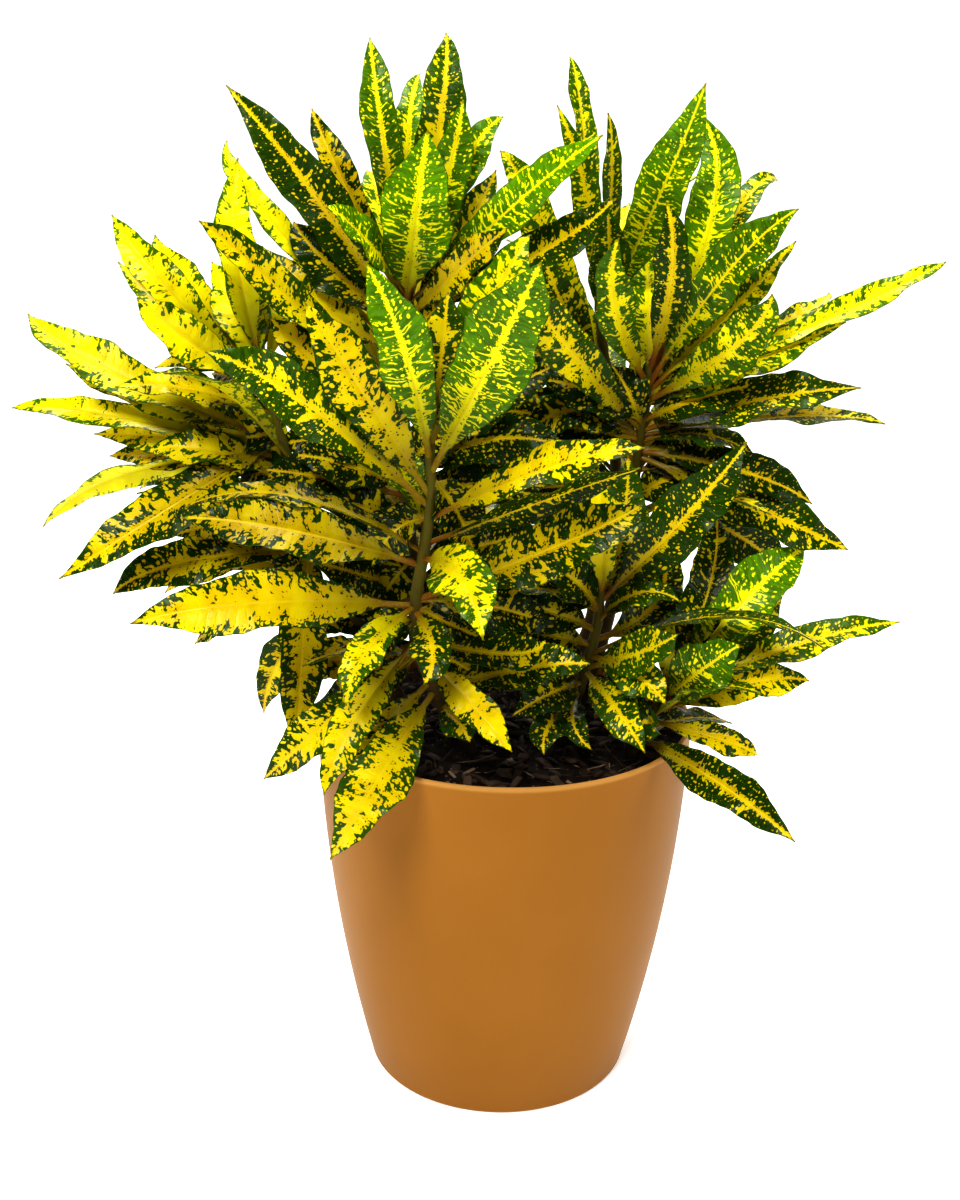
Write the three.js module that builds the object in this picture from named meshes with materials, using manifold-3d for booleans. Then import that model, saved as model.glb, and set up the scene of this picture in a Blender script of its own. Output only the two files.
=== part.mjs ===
// A potted croton: a round tapered plastic pot, the potting mix that fills it, and seven leafy stems
// that stand in it. Millimetres, +Z up, origin at the centre of the pot's underside, front towards -Y.
import * as THREE from "three";
import { mergeVertices } from "three/addons/utils/BufferGeometryUtils.js";
import Module from "manifold-3d";

const wasm = await Module();
wasm.setup();

// ---- driving dimensions ----
const POT = {
  rimRadius: 110,
  footRadius: 78.7,
  height: 225,
  bulge: 0.855, // how far the wall bellies out between foot and rim, as a share of its taper
  wall: 3,
  floor: 4,
  lipRounding: 0.8,
  ringHeights: [55, 115, 175, 222], // heights at which the wall's curve is drawn
  sides: 32,
};
const SOIL = {
  gap: 0.3, // between the mix and the pot
  holeGap: 0.3, // between the mix and a stem
  level: 213,
  crown: 5, // how much higher the mix stands in the middle than at the wall
  lump: 2.2,
  ringShares: [1, 0.72, 0.36], // shares of the radius at which the top is drawn
};
const STEM = { sides: 5, steps: 6, rootDepth: 55, footRadius: 5, tipRadius: 2.6 };
const BLADE = {
  thickness: 0.9,
  petioleShare: 0.08, // share of the leaf's length that is bare stalk
  petioleWidth: 3.4,
  petioleThickness: 2.4,
  petioleFade: 0.15, // share of the length over which the stalk's thickness thins into the blade's
  taper: 1.2, // power of the outline towards the tip: higher is more pointed
  fullness: 4.55, // brings the broadest place of the outline to the full width
  fold: 0.3, // rise of each half from midrib to margin, as a share of its width
  unfolding: 0.6, // share of the fold that is gone at the tip
  waves: 2.3, // waves of the margin along one leaf
  waveShift: 0.23, // how far, in waves, each margin is out of step with the midrib
  scallop: 0.11, // in-and-out wave of the margin, as a share of the half width
  ripple: 0.13, // up-and-down wave of the margin, as a share of the half width
  ripplePace: 1.3, // ripples for each scallop
  bow: 10, // how far the middle of the midrib stands proud of a straight line
  tipWidth: 1.4,
};
// Shares of a leaf's length at which its section is drawn, for broad leaves and for the others.
const BROAD_STATIONS = [0, 0.15, 0.38, 0.7, 1];
const SLIM_STATIONS = [0, 0.24, 0.63, 1];
const BROAD = 31; // a leaf this wide or wider, in millimetres, is broad
const GOLDEN_TURN = (Math.sqrt(5) - 1) / 2;

// The plant is plotted as a draughtsman sees it from one station point in front of the pot: across and
// down on a plate of 960 by 1200 units, and how far in front of the pot's axis, in millimetres.
const STATION = {
  eye: new THREE.Vector3(0, -867, 581),
  pitch: THREE.MathUtils.degToRad(18.39),
  yaw: THREE.MathUtils.degToRad(-1.02),
  roll: THREE.MathUtils.degToRad(0.95),
  focal: 1579,
  centre: [480, 600],
};

// ---- the station point ----
const lookDirection = new THREE.Vector3(
  Math.sin(STATION.yaw) * Math.cos(STATION.pitch),
  Math.cos(STATION.yaw) * Math.cos(STATION.pitch),
  -Math.sin(STATION.pitch),
);
const levelRight = new THREE.Vector3(Math.cos(STATION.yaw), -Math.sin(STATION.yaw), 0);
const levelUp = levelRight.clone().cross(lookDirection);
const plateRight = levelRight.clone().multiplyScalar(Math.cos(STATION.roll))
  .addScaledVector(levelUp, Math.sin(STATION.roll));
const plateUp = levelUp.clone().multiplyScalar(Math.cos(STATION.roll))
  .addScaledVector(levelRight, -Math.sin(STATION.roll));

// The point that is seen at (across, down) on the plate and stands `forward` mm in front of the axis.
function sight(across, down, forward) {
  const ray = lookDirection.clone()
    .addScaledVector(plateRight, (across - STATION.centre[0]) / STATION.focal)
    .addScaledVector(plateUp, (STATION.centre[1] - down) / STATION.focal);
  return STATION.eye.clone().addScaledVector(ray, (-forward - STATION.eye.y) / ray.y);
}

// ---- stems: plotted points from the soil up, [across, down, forward] ----
const STEMS = {
  stem_front: [[470, 752, 45], [440, 700, 58], [416, 640, 68], [416, 600, 74], [424, 550, 80],
    [431, 500, 84], [430, 462, 86], [430, 440, 87]],
  stem_top: [[452, 745, 0], [430, 650, 0], [408, 520, 0], [396, 420, 5], [400, 350, 10],
    [407, 305, 15], [409, 270, 16]],
  stem_left: [[420, 748, 15], [372, 650, 22], [322, 550, 25], [287, 455, 25], [268, 400, 20],
    [262, 350, 18]],
  stem_right: [[565, 742, -20], [602, 640, -22], [628, 520, -12], [640, 440, 0], [646, 400, 4],
    [650, 365, 6]],
  stem_right_back: [[545, 740, -50], [585, 640, -55], [612, 520, -48], [614, 420, -40],
    [602, 340, -38], [598, 290, -38]],
  stem_low_centre: [[560, 742, 25], [582, 680, 32], [597, 625, 40], [601, 590, 44]],
  stem_low_right: [[632, 742, 40], [652, 715, 48], [667, 685, 52]],
};

// ---- leaves plotted one by one ----
// [stem, height of the leaf's joint on the plate, tip across, down, forward, middle across, down,
//  width in mm, lean in degrees of the upper face from the station point: + up or right, - down or left]
const LEAVES = [
  // left fan
  ["stem_left", 445, 28, 314, 10, 108, 369, 27, 35],
  ["stem_left", 460, 12, 408, 15, 110, 416, 20, 45],
  ["stem_left", 458, 43, 527, 20, 130, 473, 20, -52],
  ["stem_left", 440, 59, 579, 75, 165, 511, 29, 25],
  ["stem_left", 475, 140, 489, -10, 195, 465, 21, 30],
  ["stem_left", 415, 115, 387, 55, 190, 389, 24, 50],
  ["stem_left", 392, 155, 368, 0, 208, 362, 13, 30],
  ["stem_left", 392, 112, 215, 0, 165, 285, 21, 0],
  ["stem_left", 385, 155, 235, -40, 190, 302, 28, 5],
  ["stem_left", 375, 238, 158, 10, 236, 250, 21, 10],
  ["stem_left", 432, 168, 425, -20, 225, 425, 24, 30],
  ["stem_left", 548, 113, 594, 50, 186, 562, 27, 25],
  ["stem_left", 565, 165, 593, 10, 230, 560, 21, 30],
  ["stem_left", 600, 195, 644, 20, 245, 618, 21, 50],
  ["stem_left", 520, 295, 756, 62, 303, 640, 27, 0],
  ["stem_left", 600, 264, 713, 0, 284, 655, 22, 0],
  ["stem_left", 388, 137, 298, 50, 184, 338, 26, 30],
  ["stem_left", 475, 148, 452, 35, 205, 450, 24, 40],
  ["stem_left", 480, 183, 522, 0, 235, 502, 26, 20],
  ["stem_left", 380, 212, 262, -10, 238, 312, 24, 0],
  ["stem_left", 690, 298, 676, 28, 335, 660, 25, 10],
  ["stem_left", 378, 318, 243, -24, 288, 292, 16, 20],
  ["stem_left", 470, 110, 456, 5, 178, 456, 21, 35],
  // crown behind the middle
  ["stem_top", 350, 227, 141, -15, 264, 213, 16, 40],
  ["stem_top", 405, 199, 221, 70, 272, 283, 23, 35],
  ["stem_top", 330, 226, 85, 20, 316, 197, 27, 0],
  ["stem_top", 310, 312, 109, 0, 343, 181, 17, 0],
  ["stem_top", 300, 370, 38, -5, 382, 130, 19, 0],
  ["stem_top", 298, 446, 33, 0, 440, 125, 24, 0],
  ["stem_top", 292, 420, 74, -50, 408, 140, 18, 0],
  ["stem_top", 308, 428, 130, 55, 416, 215, 37, 0],
  ["stem_top", 302, 503, 117, 15, 462, 170, 18, 10],
  ["stem_top", 305, 463, 100, 35, 445, 185, 23, 10],
  ["stem_top", 306, 603, 135, 60, 518, 202, 22, 20],
  ["stem_top", 318, 614, 199, 45, 545, 250, 23, 25],
  ["stem_top", 322, 508, 228, 60, 465, 265, 20, 30],
  ["stem_top", 296, 326, 207, 70, 362, 236, 21, 50],
  ["stem_top", 435, 270, 318, 35, 315, 362, 24, 20],
  ["stem_top", 440, 562, 362, 25, 482, 400, 32, 15],
  ["stem_top", 470, 566, 448, 35, 492, 440, 31, 25],
  ["stem_top", 485, 292, 455, 35, 345, 464, 30, 25],
  ["stem_top", 530, 316, 506, 45, 362, 508, 26, 25],
  ["stem_top", 590, 312, 562, 50, 362, 575, 27, 25],
  ["stem_top", 505, 548, 506, 30, 485, 486, 30, 25],
  ["stem_top", 560, 545, 528, 45, 480, 546, 30, 20],
  ["stem_top", 495, 264, 470, 45, 325, 478, 27, 20],
  ["stem_top", 380, 272, 340, -12, 325, 350, 24, 20],
  ["stem_top", 545, 300, 545, 40, 355, 540, 26, 20],
  ["stem_top", 600, 328, 612, 45, 368, 600, 26, 15],
  ["stem_top", 325, 496, 170, 8, 462, 236, 21, 0],
  // front rosette
  ["stem_front", 508, 205, 352, 120, 300, 400, 29, 20],
  ["stem_front", 475, 541, 262, 150, 497, 350, 38, 0],
  ["stem_front", 462, 365, 262, 125, 404, 350, 27, 0],
  ["stem_front", 498, 305, 303, 105, 358, 385, 29, 0],
  ["stem_front", 560, 483, 640, 155, 461, 578, 30, 10],
  ["stem_front", 520, 645, 448, 115, 550, 468, 26, 42],
  ["stem_front", 600, 642, 505, 90, 560, 545, 32, 15],
  ["stem_front", 565, 182, 518, 95, 290, 530, 30, 22],
  ["stem_front", 552, 185, 508, 70, 290, 496, 23, 62],
  ["stem_front", 605, 130, 624, 115, 255, 603, 32, 12],
  ["stem_front", 650, 264, 779, 70, 322, 728, 25, 10],
  ["stem_front", 605, 346, 706, 130, 366, 652, 20, 20],
  ["stem_front", 640, 324, 795, 125, 352, 725, 21, 0],
  ["stem_front", 690, 330, 860, 155, 378, 778, 32, 0],
  ["stem_front", 655, 512, 752, 115, 475, 708, 19, 0],
  ["stem_front", 610, 424, 684, 120, 432, 650, 22, 0],
  ["stem_front", 680, 345, 780, 100, 378, 738, 21, 10],
  ["stem_front", 690, 590, 664, 85, 530, 668, 25, 30],
  ["stem_front", 640, 545, 640, 95, 510, 654, 22, 30],
  ["stem_front", 448, 448, 292, 105, 441, 360, 26, 0],
  ["stem_front", 545, 640, 468, 75, 545, 500, 24, -55],
  ["stem_front", 445, 530, 235, 95, 488, 310, 26, 0],
  ["stem_front", 620, 358, 652, 60, 390, 628, 22, 10],
  ["stem_front", 705, 470, 742, 85, 458, 722, 20, 10],
  // right rosette
  ["stem_right", 455, 848, 550, 25, 763, 511, 29, 20],
  ["stem_right", 442, 757, 459, 10, 705, 435, 24, 55],
  ["stem_right", 436, 885, 424, 40, 790, 417, 24, 66],
  ["stem_right", 430, 861, 388, 35, 756, 401, 32, 45],
  ["stem_right", 400, 946, 262, 30, 848, 310, 21, 52],
  ["stem_right", 405, 829, 294, -15, 785, 325, 19, 60],
  ["stem_right", 402, 772, 294, 62, 738, 344, 26, 5],
  ["stem_right", 392, 796, 241, 20, 735, 308, 20, 40],
  ["stem_right", 388, 799, 209, 50, 728, 272, 26, 20],
  ["stem_right", 378, 777, 181, -60, 735, 215, 16, 30],
  ["stem_right", 370, 700, 114, -20, 713, 213, 26, 0],
  ["stem_right", 372, 666, 202, 35, 672, 275, 20, 0],
  ["stem_right", 385, 619, 238, 50, 614, 305, 21, 10],
  ["stem_right", 430, 526, 284, 60, 565, 345, 26, 10],
  ["stem_right", 442, 520, 445, 0, 572, 411, 26, 25],
  ["stem_right", 422, 766, 384, 15, 702, 398, 26, 35],
  ["stem_right", 470, 722, 480, -35, 684, 466, 30, 35],
  ["stem_right", 490, 792, 578, -30, 728, 530, 31, 10],
  ["stem_right", 500, 702, 462, -10, 668, 478, 27, 20],
  ["stem_right", 420, 543, 380, 10, 592, 392, 26, 15],
  ["stem_right", 440, 538, 432, -12, 590, 430, 25, 10],
  ["stem_right", 412, 716, 453, -25, 685, 437, 24, 25],
  // shoot behind the right rosette
  ["stem_right_back", 310, 570, 57, -40, 583, 130, 16, 45],
  ["stem_right_back", 316, 557, 105, -15, 588, 200, 16, 0],
  ["stem_right_back", 322, 608, 113, 15, 611, 190, 13, 40],
  ["stem_right_back", 335, 606, 203, 28, 609, 260, 21, 0],
  ["stem_right_back", 440, 500, 151, -35, 545, 235, 21, 0],
  ["stem_right_back", 405, 543, 250, -25, 564, 308, 21, 0],
  ["stem_right_back", 480, 552, 482, -30, 584, 478, 24, 10],
  ["stem_right_back", 322, 706, 83, 40, 662, 190, 27, 0],
  // low middle
  ["stem_low_centre", 605, 490, 585, 70, 545, 590, 23, 65],
  ["stem_low_centre", 612, 534, 560, 55, 572, 578, 25, 25],
  ["stem_low_centre", 668, 678, 634, 78, 642, 652, 25, 20],
  ["stem_low_centre", 620, 680, 602, 60, 640, 593, 21, 40],
  ["stem_low_centre", 602, 747, 442, 55, 683, 520, 31, 0],
  ["stem_low_centre", 600, 628, 455, 3, 622, 530, 28, 0],
  ["stem_low_centre", 596, 598, 468, 45, 603, 535, 17, 0],
  ["stem_low_centre", 655, 826, 650, 95, 720, 617, 19, 74],
  ["stem_low_centre", 655, 665, 704, 75, 637, 676, 23, 10],
  ["stem_low_centre", 670, 645, 753, 85, 617, 710, 22, 0],
  ["stem_low_centre", 640, 660, 535, -17, 657, 600, 27, 0],
  ["stem_low_centre", 630, 478, 600, 50, 538, 608, 26, 15],
  ["stem_low_centre", 700, 544, 755, 80, 549, 725, 21, 0],
  ["stem_low_centre", 690, 592, 750, 72, 573, 722, 16, 0],
  ["stem_low_centre", 682, 512, 716, 75, 550, 694, 24, 15],
  // low right
  ["stem_low_right", 735, 795, 842, 150, 722, 785, 23, 10],
  ["stem_low_right", 720, 757, 755, 60, 722, 740, 16, 20],
  ["stem_low_right", 712, 809, 681, 50, 750, 683, 22, 15],
  ["stem_low_right", 698, 900, 622, 40, 800, 644, 23, 40],
  ["stem_low_right", 702, 740, 645, 75, 704, 668, 30, 0],
  ["stem_low_right", 692, 806, 546, 15, 750, 595, 31, 0],
  ["stem_low_right", 690, 716, 515, 5, 708, 592, 27, 0],
  ["stem_low_right", 700, 782, 598, 10, 735, 640, 26, 10],
  ["stem_low_right", 722, 618, 730, 72, 645, 722, 22, 15],
];

// ---- leaves that nobody plots: each stem's back, grown by the golden angle ----
// count of leaves, lowest and highest joint as shares of the stem's length, length and width in mm,
// and the bearing in degrees, counted from +X towards +Y, of the middle of the arc that they fill
const GROWN = {
  stem_front: { count: 2, from: 0.5, to: 0.8, length: 90, width: 25, bearing: 200 },
  stem_top: { count: 12, from: 0.45, to: 0.97, length: 140, width: 28, bearing: 84 },
  stem_left: { count: 7, from: 0.45, to: 0.97, length: 120, width: 27, bearing: 155 },
  stem_right: { count: 5, from: 0.55, to: 0.97, length: 125, width: 28, bearing: 15 },
  stem_right_back: { count: 10, from: 0.4, to: 0.97, length: 140, width: 28, bearing: 85 },
  stem_low_centre: { count: 2, from: 0.62, to: 0.9, length: 85, width: 25, bearing: 120 },
  stem_low_right: { count: 3, from: 0.6, to: 0.95, length: 85, width: 25, bearing: 20 },
};
const GROWN_ARC = THREE.MathUtils.degToRad(160);
const GROWN_LEAF = {
  lowRise: 0.2, // radians that the lowest leaf of a stem points up from level
  highRise: 1.0,
  shortening: 0.25, // how much shorter a stem's first and last leaves are than its middle ones
  arch: 0.12, // rise of the midrib's middle over a straight line, as a share of the length
  droop: 0.15, // fall of the tip, as a share of the length
};

// ---- solids ----
// Closed surface from rows of points: each row is a ring, and neighbouring rings are joined.
function solidOfRings(rings) {
  const sides = rings[0].length;
  const positions = rings.flat().flatMap((p) => [p.x, p.y, p.z]);
  const faces = [];
  for (let i = 0; i + 1 < rings.length; i++)
    for (let j = 0; j < sides; j++) {
      const a = i * sides + j;
      const b = i * sides + ((j + 1) % sides);
      faces.push(a, b, b + sides, a, b + sides, a + sides);
    }
  const last = (rings.length - 1) * sides;
  for (let j = 1; j + 1 < sides; j++) {
    faces.push(0, j + 1, j);
    faces.push(last, last + j, last + j + 1);
  }
  return { positions, faces };
}

function manifoldOf({ positions, faces }) {
  return new wasm.Manifold(new wasm.Mesh({
    numProp: 3,
    vertProperties: new Float32Array(positions),
    triVerts: new Uint32Array(faces),
  }));
}

function manifoldOfGeometry(geometry) {
  const bare = geometry.clone();
  bare.deleteAttribute("normal");
  bare.deleteAttribute("uv");
  const merged = mergeVertices(bare, 1e-3);
  return manifoldOf({
    positions: Array.from(merged.attributes.position.array),
    faces: Array.from(merged.index.array),
  });
}

function geometryOf(solid) {
  const mesh = solid.getMesh();
  const geometry = new THREE.BufferGeometry();
  geometry.setAttribute("position", new THREE.BufferAttribute(new Float32Array(mesh.vertProperties), 3));
  geometry.setIndex(new THREE.BufferAttribute(new Uint32Array(mesh.triVerts), 1));
  geometry.computeVertexNormals();
  return geometry;
}

// ---- pot and soil ----
function potRadius(z) {
  const t = z / POT.height;
  return POT.footRadius + (POT.rimRadius - POT.footRadius) * (t + POT.bulge * t * (1 - t));
}

function potGeometry() {
  const outer = [0, ...POT.ringHeights].map((z) => new THREE.Vector2(potRadius(z), z));
  const lip = [
    new THREE.Vector2(POT.rimRadius - POT.lipRounding, POT.height),
    new THREE.Vector2(POT.rimRadius - POT.wall + POT.lipRounding, POT.height),
  ];
  const inner = [POT.floor, ...POT.ringHeights].reverse()
    .map((z) => new THREE.Vector2(potRadius(z) - POT.wall, z));
  const profile = [new THREE.Vector2(0, 0), ...outer, ...lip, ...inner, new THREE.Vector2(0, POT.floor)];
  return new THREE.LatheGeometry(profile, POT.sides).rotateX(Math.PI / 2);
}

// Height of the potting mix at a radius and angle: a low crown, with lumps from two spiral waves.
function soilHeight(radius, angle) {
  const share = radius / POT.rimRadius;
  const lumps = Math.sin(3 * angle + 0.09 * radius) + Math.sin(7 * angle - 0.17 * radius);
  return SOIL.level + SOIL.crown * (1 - share * share) + SOIL.lump * lumps * share * (1 - share) * 2;
}

function soilSolid() {
  const wallHeights = [POT.floor + SOIL.gap, ...POT.ringHeights.slice(0, -1)];
  const rings = [];
  const ringAt = (radiusAt, heightAt) => Array.from({ length: POT.sides }, (_, j) => {
    const angle = (j / POT.sides) * 2 * Math.PI;
    const radius = radiusAt(angle);
    return new THREE.Vector3(radius * Math.sin(angle), -radius * Math.cos(angle), heightAt(radius, angle));
  });
  const inside = (z) => potRadius(z) - POT.wall - 2 * SOIL.gap;
  const topRadius = inside(SOIL.level - 10 * SOIL.gap);
  wallHeights.forEach((z) => rings.push(ringAt(() => inside(z), () => z)));
  SOIL.ringShares.forEach((share) => rings.push(ringAt(() => share * topRadius, soilHeight)));
  return manifoldOf(solidOfRings(rings));
}

// ---- stems ----
function stemCurve(name) {
  const plotted = STEMS[name].map((p) => sight(...p));
  const foot = plotted[0].clone();
  foot.z = SOIL.level - STEM.rootDepth;
  return new THREE.CatmullRomCurve3([foot, ...plotted], false, "centripetal");
}

function ringRound(centre, tangent, radius, sides) {
  const across = new THREE.Vector3(1, 0, 0).addScaledVector(tangent, -tangent.x).normalize();
  const along = tangent.clone().cross(across);
  return Array.from({ length: sides }, (_, j) => {
    const angle = (j / sides) * 2 * Math.PI;
    return centre.clone()
      .addScaledVector(across, radius * Math.cos(angle))
      .addScaledVector(along, radius * Math.sin(angle));
  });
}

function stemSolid(curve, swell = 0) {
  const rings = [];
  for (let i = 0; i <= STEM.steps; i++) {
    const t = i / STEM.steps;
    const radius = THREE.MathUtils.lerp(STEM.footRadius, STEM.tipRadius, t) + swell;
    const tangent = curve.getTangentAt(t);
    const centre = curve.getPointAt(t).addScaledVector(tangent, i ? 0 : -swell);
    rings.push(ringRound(centre, tangent, radius, STEM.sides));
  }
  return manifoldOf(solidOfRings(rings));
}

// The point of a stem that stands at a height on the plate, found among even samples of its curve.
function jointAt(curve, down) {
  const samples = 200;
  let best = curve.getPointAt(1);
  let least = Infinity;
  for (let i = 0; i <= samples; i++) {
    const point = curve.getPointAt(i / samples);
    const ray = point.clone().sub(STATION.eye);
    const seen = STATION.centre[1] - (STATION.focal * ray.dot(plateUp)) / ray.dot(lookDirection);
    if (Math.abs(seen - down) < least) {
      least = Math.abs(seen - down);
      best = point;
    }
  }
  return best;
}

// ---- leaves ----
// Width of the blade at a share t of the leaf's length, as a share of its full width: lance-shaped,
// broadest just short of the middle, with a long point.
function outline(t) {
  const blade = Math.max(0, (t - BLADE.petioleShare) / (1 - BLADE.petioleShare));
  return BLADE.fullness * blade * Math.pow(1 - blade, BLADE.taper);
}

// A leaf as a closed blade with a keeled midrib, a fold along it and waved margins.
// curve: its midrib. faceAt(point, tangent): which way its upper side looks. phase: where its waves start.
function leafSolid(curve, faceAt, width, phase) {
  const stations = width < BROAD ? SLIM_STATIONS : BROAD_STATIONS;
  const rings = stations.map((t) => {
    const middle = curve.getPoint(t);
    const tangent = curve.getTangent(t);
    const face = faceAt(middle, tangent);
    const across = face.clone().cross(tangent).normalize();
    const half = (width / 2) * outline(t);
    const stalk = Math.max(0, 1 - Math.max(0, t - BLADE.petioleShare) / BLADE.petioleFade);
    const thick = THREE.MathUtils.lerp(BLADE.thickness, BLADE.petioleThickness, stalk) / 2;
    const least = t < 0.5 ? BLADE.petioleWidth / 2 : BLADE.tipWidth / 2;
    const marginOf = (side) => {
      const wave = 2 * Math.PI * (BLADE.waves * t + phase + BLADE.waveShift * side);
      const out = Math.max(least, half * (1 + BLADE.scallop * Math.sin(wave)));
      const fold = BLADE.fold * (1 - BLADE.unfolding * t);
      const rise = half * (fold + BLADE.ripple * Math.sin(BLADE.ripplePace * wave));
      return middle.clone().addScaledVector(across, side * out).addScaledVector(face, rise);
    };
    const left = marginOf(-1);
    const right = marginOf(1);
    const up = (p) => p.clone().addScaledVector(face, thick);
    const down = (p) => p.clone().addScaledVector(face, -thick);
    return [down(left), down(middle), down(right), up(right), up(middle), up(left)];
  });
  return manifoldOf(solidOfBlade(rings));
}

// Six-cornered rings whose upper and lower faces are split along the same diagonals.
function solidOfBlade(rings) {
  const positions = rings.flat().flatMap((p) => [p.x, p.y, p.z]);
  const faces = [];
  const quad = (a, b, c, d, otherWay) => (otherWay
    ? faces.push(a, b, d, b, c, d)
    : faces.push(a, b, c, a, c, d));
  for (let i = 0; i + 1 < rings.length; i++) {
    const at = (j) => i * 6 + j;
    const on = (j) => i * 6 + 6 + j;
    quad(at(0), at(1), on(1), on(0), false);
    quad(at(1), at(2), on(2), on(1), true);
    quad(at(2), at(3), on(3), on(2), false);
    quad(at(3), at(4), on(4), on(3), false);
    quad(at(4), at(5), on(5), on(4), true);
    quad(at(5), at(0), on(0), on(5), false);
  }
  const last = (rings.length - 1) * 6;
  [[0, 1, 4, 5], [1, 2, 3, 4]].forEach(([a, b, c, d]) => {
    faces.push(a, c, b, a, d, c);
    faces.push(last + a, last + b, last + c, last + a, last + c, last + d);
  });
  return { positions, faces };
}

// Curve from root to tip that passes through a middle point.
function midribThrough(root, middle, tip) {
  const control = middle.clone().multiplyScalar(2).addScaledVector(root, -0.5).addScaledVector(tip, -0.5);
  return new THREE.QuadraticBezierCurve3(root, control, tip);
}

function plottedLeaf(row, index, curve) {
  const [, joint, tipAcross, tipDown, tipForward, midAcross, midDown, width, leanDegrees] = row;
  const root = jointAt(curve, joint);
  const tip = sight(tipAcross, tipDown, tipForward);
  const lean = THREE.MathUtils.degToRad(leanDegrees);
  const midForward = (tipForward - root.y) / 2 + BLADE.bow * Math.cos(lean);
  const midrib = midribThrough(root, sight(midAcross, midDown, midForward), tip);
  const faceAt = (point, tangent) => {
    const toEye = STATION.eye.clone().sub(point);
    toEye.addScaledVector(tangent, -toEye.dot(tangent)).normalize();
    const sideways = toEye.clone().cross(tangent).normalize();
    if (sideways.dot(plateUp) + 0.3 * sideways.dot(plateRight) < 0) sideways.negate();
    return toEye.multiplyScalar(Math.cos(lean)).addScaledVector(sideways, Math.sin(lean));
  };
  return leafSolid(midrib, faceAt, width, (index * GOLDEN_TURN) % 1);
}

function grownLeaf(rule, index, curve) {
  const share = rule.count > 1 ? index / (rule.count - 1) : 0;
  const along = THREE.MathUtils.lerp(rule.from, rule.to, share);
  const turn = (index * GOLDEN_TURN + 0.5) % 1;
  const azimuth = THREE.MathUtils.degToRad(rule.bearing) + (turn - 0.5) * GROWN_ARC;
  const rise = THREE.MathUtils.lerp(GROWN_LEAF.lowRise, GROWN_LEAF.highRise, share);
  const length = rule.length * (1 - GROWN_LEAF.shortening * Math.abs(2 * share - 1));
  const outward = new THREE.Vector3(Math.cos(azimuth), Math.sin(azimuth), 0);
  const root = curve.getPointAt(along);
  const tip = root.clone().addScaledVector(outward, length * Math.cos(rise));
  tip.z += length * (Math.sin(rise) - GROWN_LEAF.droop);
  const middle = root.clone().lerp(tip, 0.5);
  middle.z += GROWN_LEAF.arch * length;
  const faceAt = (point, tangent) => new THREE.Vector3(0, 0, 1)
    .addScaledVector(tangent, -tangent.z).normalize();
  return leafSolid(midribThrough(root, middle, tip), faceAt, rule.width, turn);
}

function leafyStem(name) {
  const curve = stemCurve(name);
  const leaves = LEAVES.map((row, index) => ({ row, index }))
    .filter(({ row }) => row[0] === name)
    .map(({ row, index }) => plottedLeaf(row, index, curve));
  for (let k = 0; k < GROWN[name].count; k++) leaves.push(grownLeaf(GROWN[name], k, curve));
  return leaves.reduce((whole, leaf) => whole.add(leaf), stemSolid(curve));
}

// ---- the part ----
const MATERIALS = {
  pot: new THREE.MeshStandardMaterial({ color: 0xb4702a, roughness: 0.45, metalness: 0 }),
  soil: new THREE.MeshStandardMaterial({ color: 0x1d130b, roughness: 0.95, metalness: 0 }),
  foliage: new THREE.MeshStandardMaterial({ color: 0x8d9a16, roughness: 0.4, metalness: 0 }),
};

function namedMesh(name, geometry, material) {
  const mesh = new THREE.Mesh(geometry, material);
  mesh.name = name;
  return mesh;
}

const part = new THREE.Group();
part.add(namedMesh("pot", potGeometry(), MATERIALS.pot));
let soil = soilSolid();
for (const name of Object.keys(STEMS)) {
  soil = soil.subtract(stemSolid(stemCurve(name), SOIL.holeGap));
  part.add(namedMesh(name, geometryOf(leafyStem(name)), MATERIALS.foliage));
}
part.add(namedMesh("soil", geometryOf(soil), MATERIALS.soil));

export default part;
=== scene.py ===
"""A potted croton: a satin plastic pot, bark compost, and seven stems with variegated leaves."""
import math

import bpy
import numpy as np
from mathutils import Matrix


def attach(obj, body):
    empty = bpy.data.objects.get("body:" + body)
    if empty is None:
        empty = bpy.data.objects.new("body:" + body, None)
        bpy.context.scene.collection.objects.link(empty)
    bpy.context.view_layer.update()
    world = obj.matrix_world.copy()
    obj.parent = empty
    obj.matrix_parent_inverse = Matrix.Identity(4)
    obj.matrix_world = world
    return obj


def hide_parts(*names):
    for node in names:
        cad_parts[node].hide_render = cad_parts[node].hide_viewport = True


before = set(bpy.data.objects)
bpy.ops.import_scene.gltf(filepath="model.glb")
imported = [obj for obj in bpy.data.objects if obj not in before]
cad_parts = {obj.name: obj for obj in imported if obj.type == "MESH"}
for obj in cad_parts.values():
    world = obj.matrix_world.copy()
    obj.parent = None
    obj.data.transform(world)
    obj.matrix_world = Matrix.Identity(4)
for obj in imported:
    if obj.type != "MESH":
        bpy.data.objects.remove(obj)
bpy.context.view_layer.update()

MM = 0.001

# ---- sizes in millimetres: the source's, but for finer tips of the leaves ----
RIM_RADIUS, FOOT_RADIUS, POT_HEIGHT = 110.0, 78.7, 225.0
BULGE, WALL, POT_FLOOR = 0.855, 3.0, 4.0
SOIL_LEVEL, SOIL_CROWN, SOIL_LUMP, SOIL_GAP = 213.0, 5.0, 2.2, 0.3
LUMPS = [(3, 0.09), (7, -0.17)]  # waves in a turn, and their twist for each millimetre outwards
ROOT_DEPTH, STEM_FOOT, STEM_TIP = 55.0, 5.0, 2.6
PETIOLE_SHARE, PETIOLE_WIDTH, PETIOLE_THICKNESS, PETIOLE_FADE = 0.08, 3.4, 2.4, 0.15
BLADE_THICKNESS, BLADE_FULLNESS, BLADE_TAPER, TIP_WIDTH = 0.9, 4.55, 1.2, 0.7
FOLD, UNFOLDING, BOW = 0.3, 0.6, 10.0
SCALLOP, WAVES, WAVE_SHIFT = 0.11, 2.3, 0.23
RIPPLE, RIPPLE_PACE = 0.13, 1.3
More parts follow.
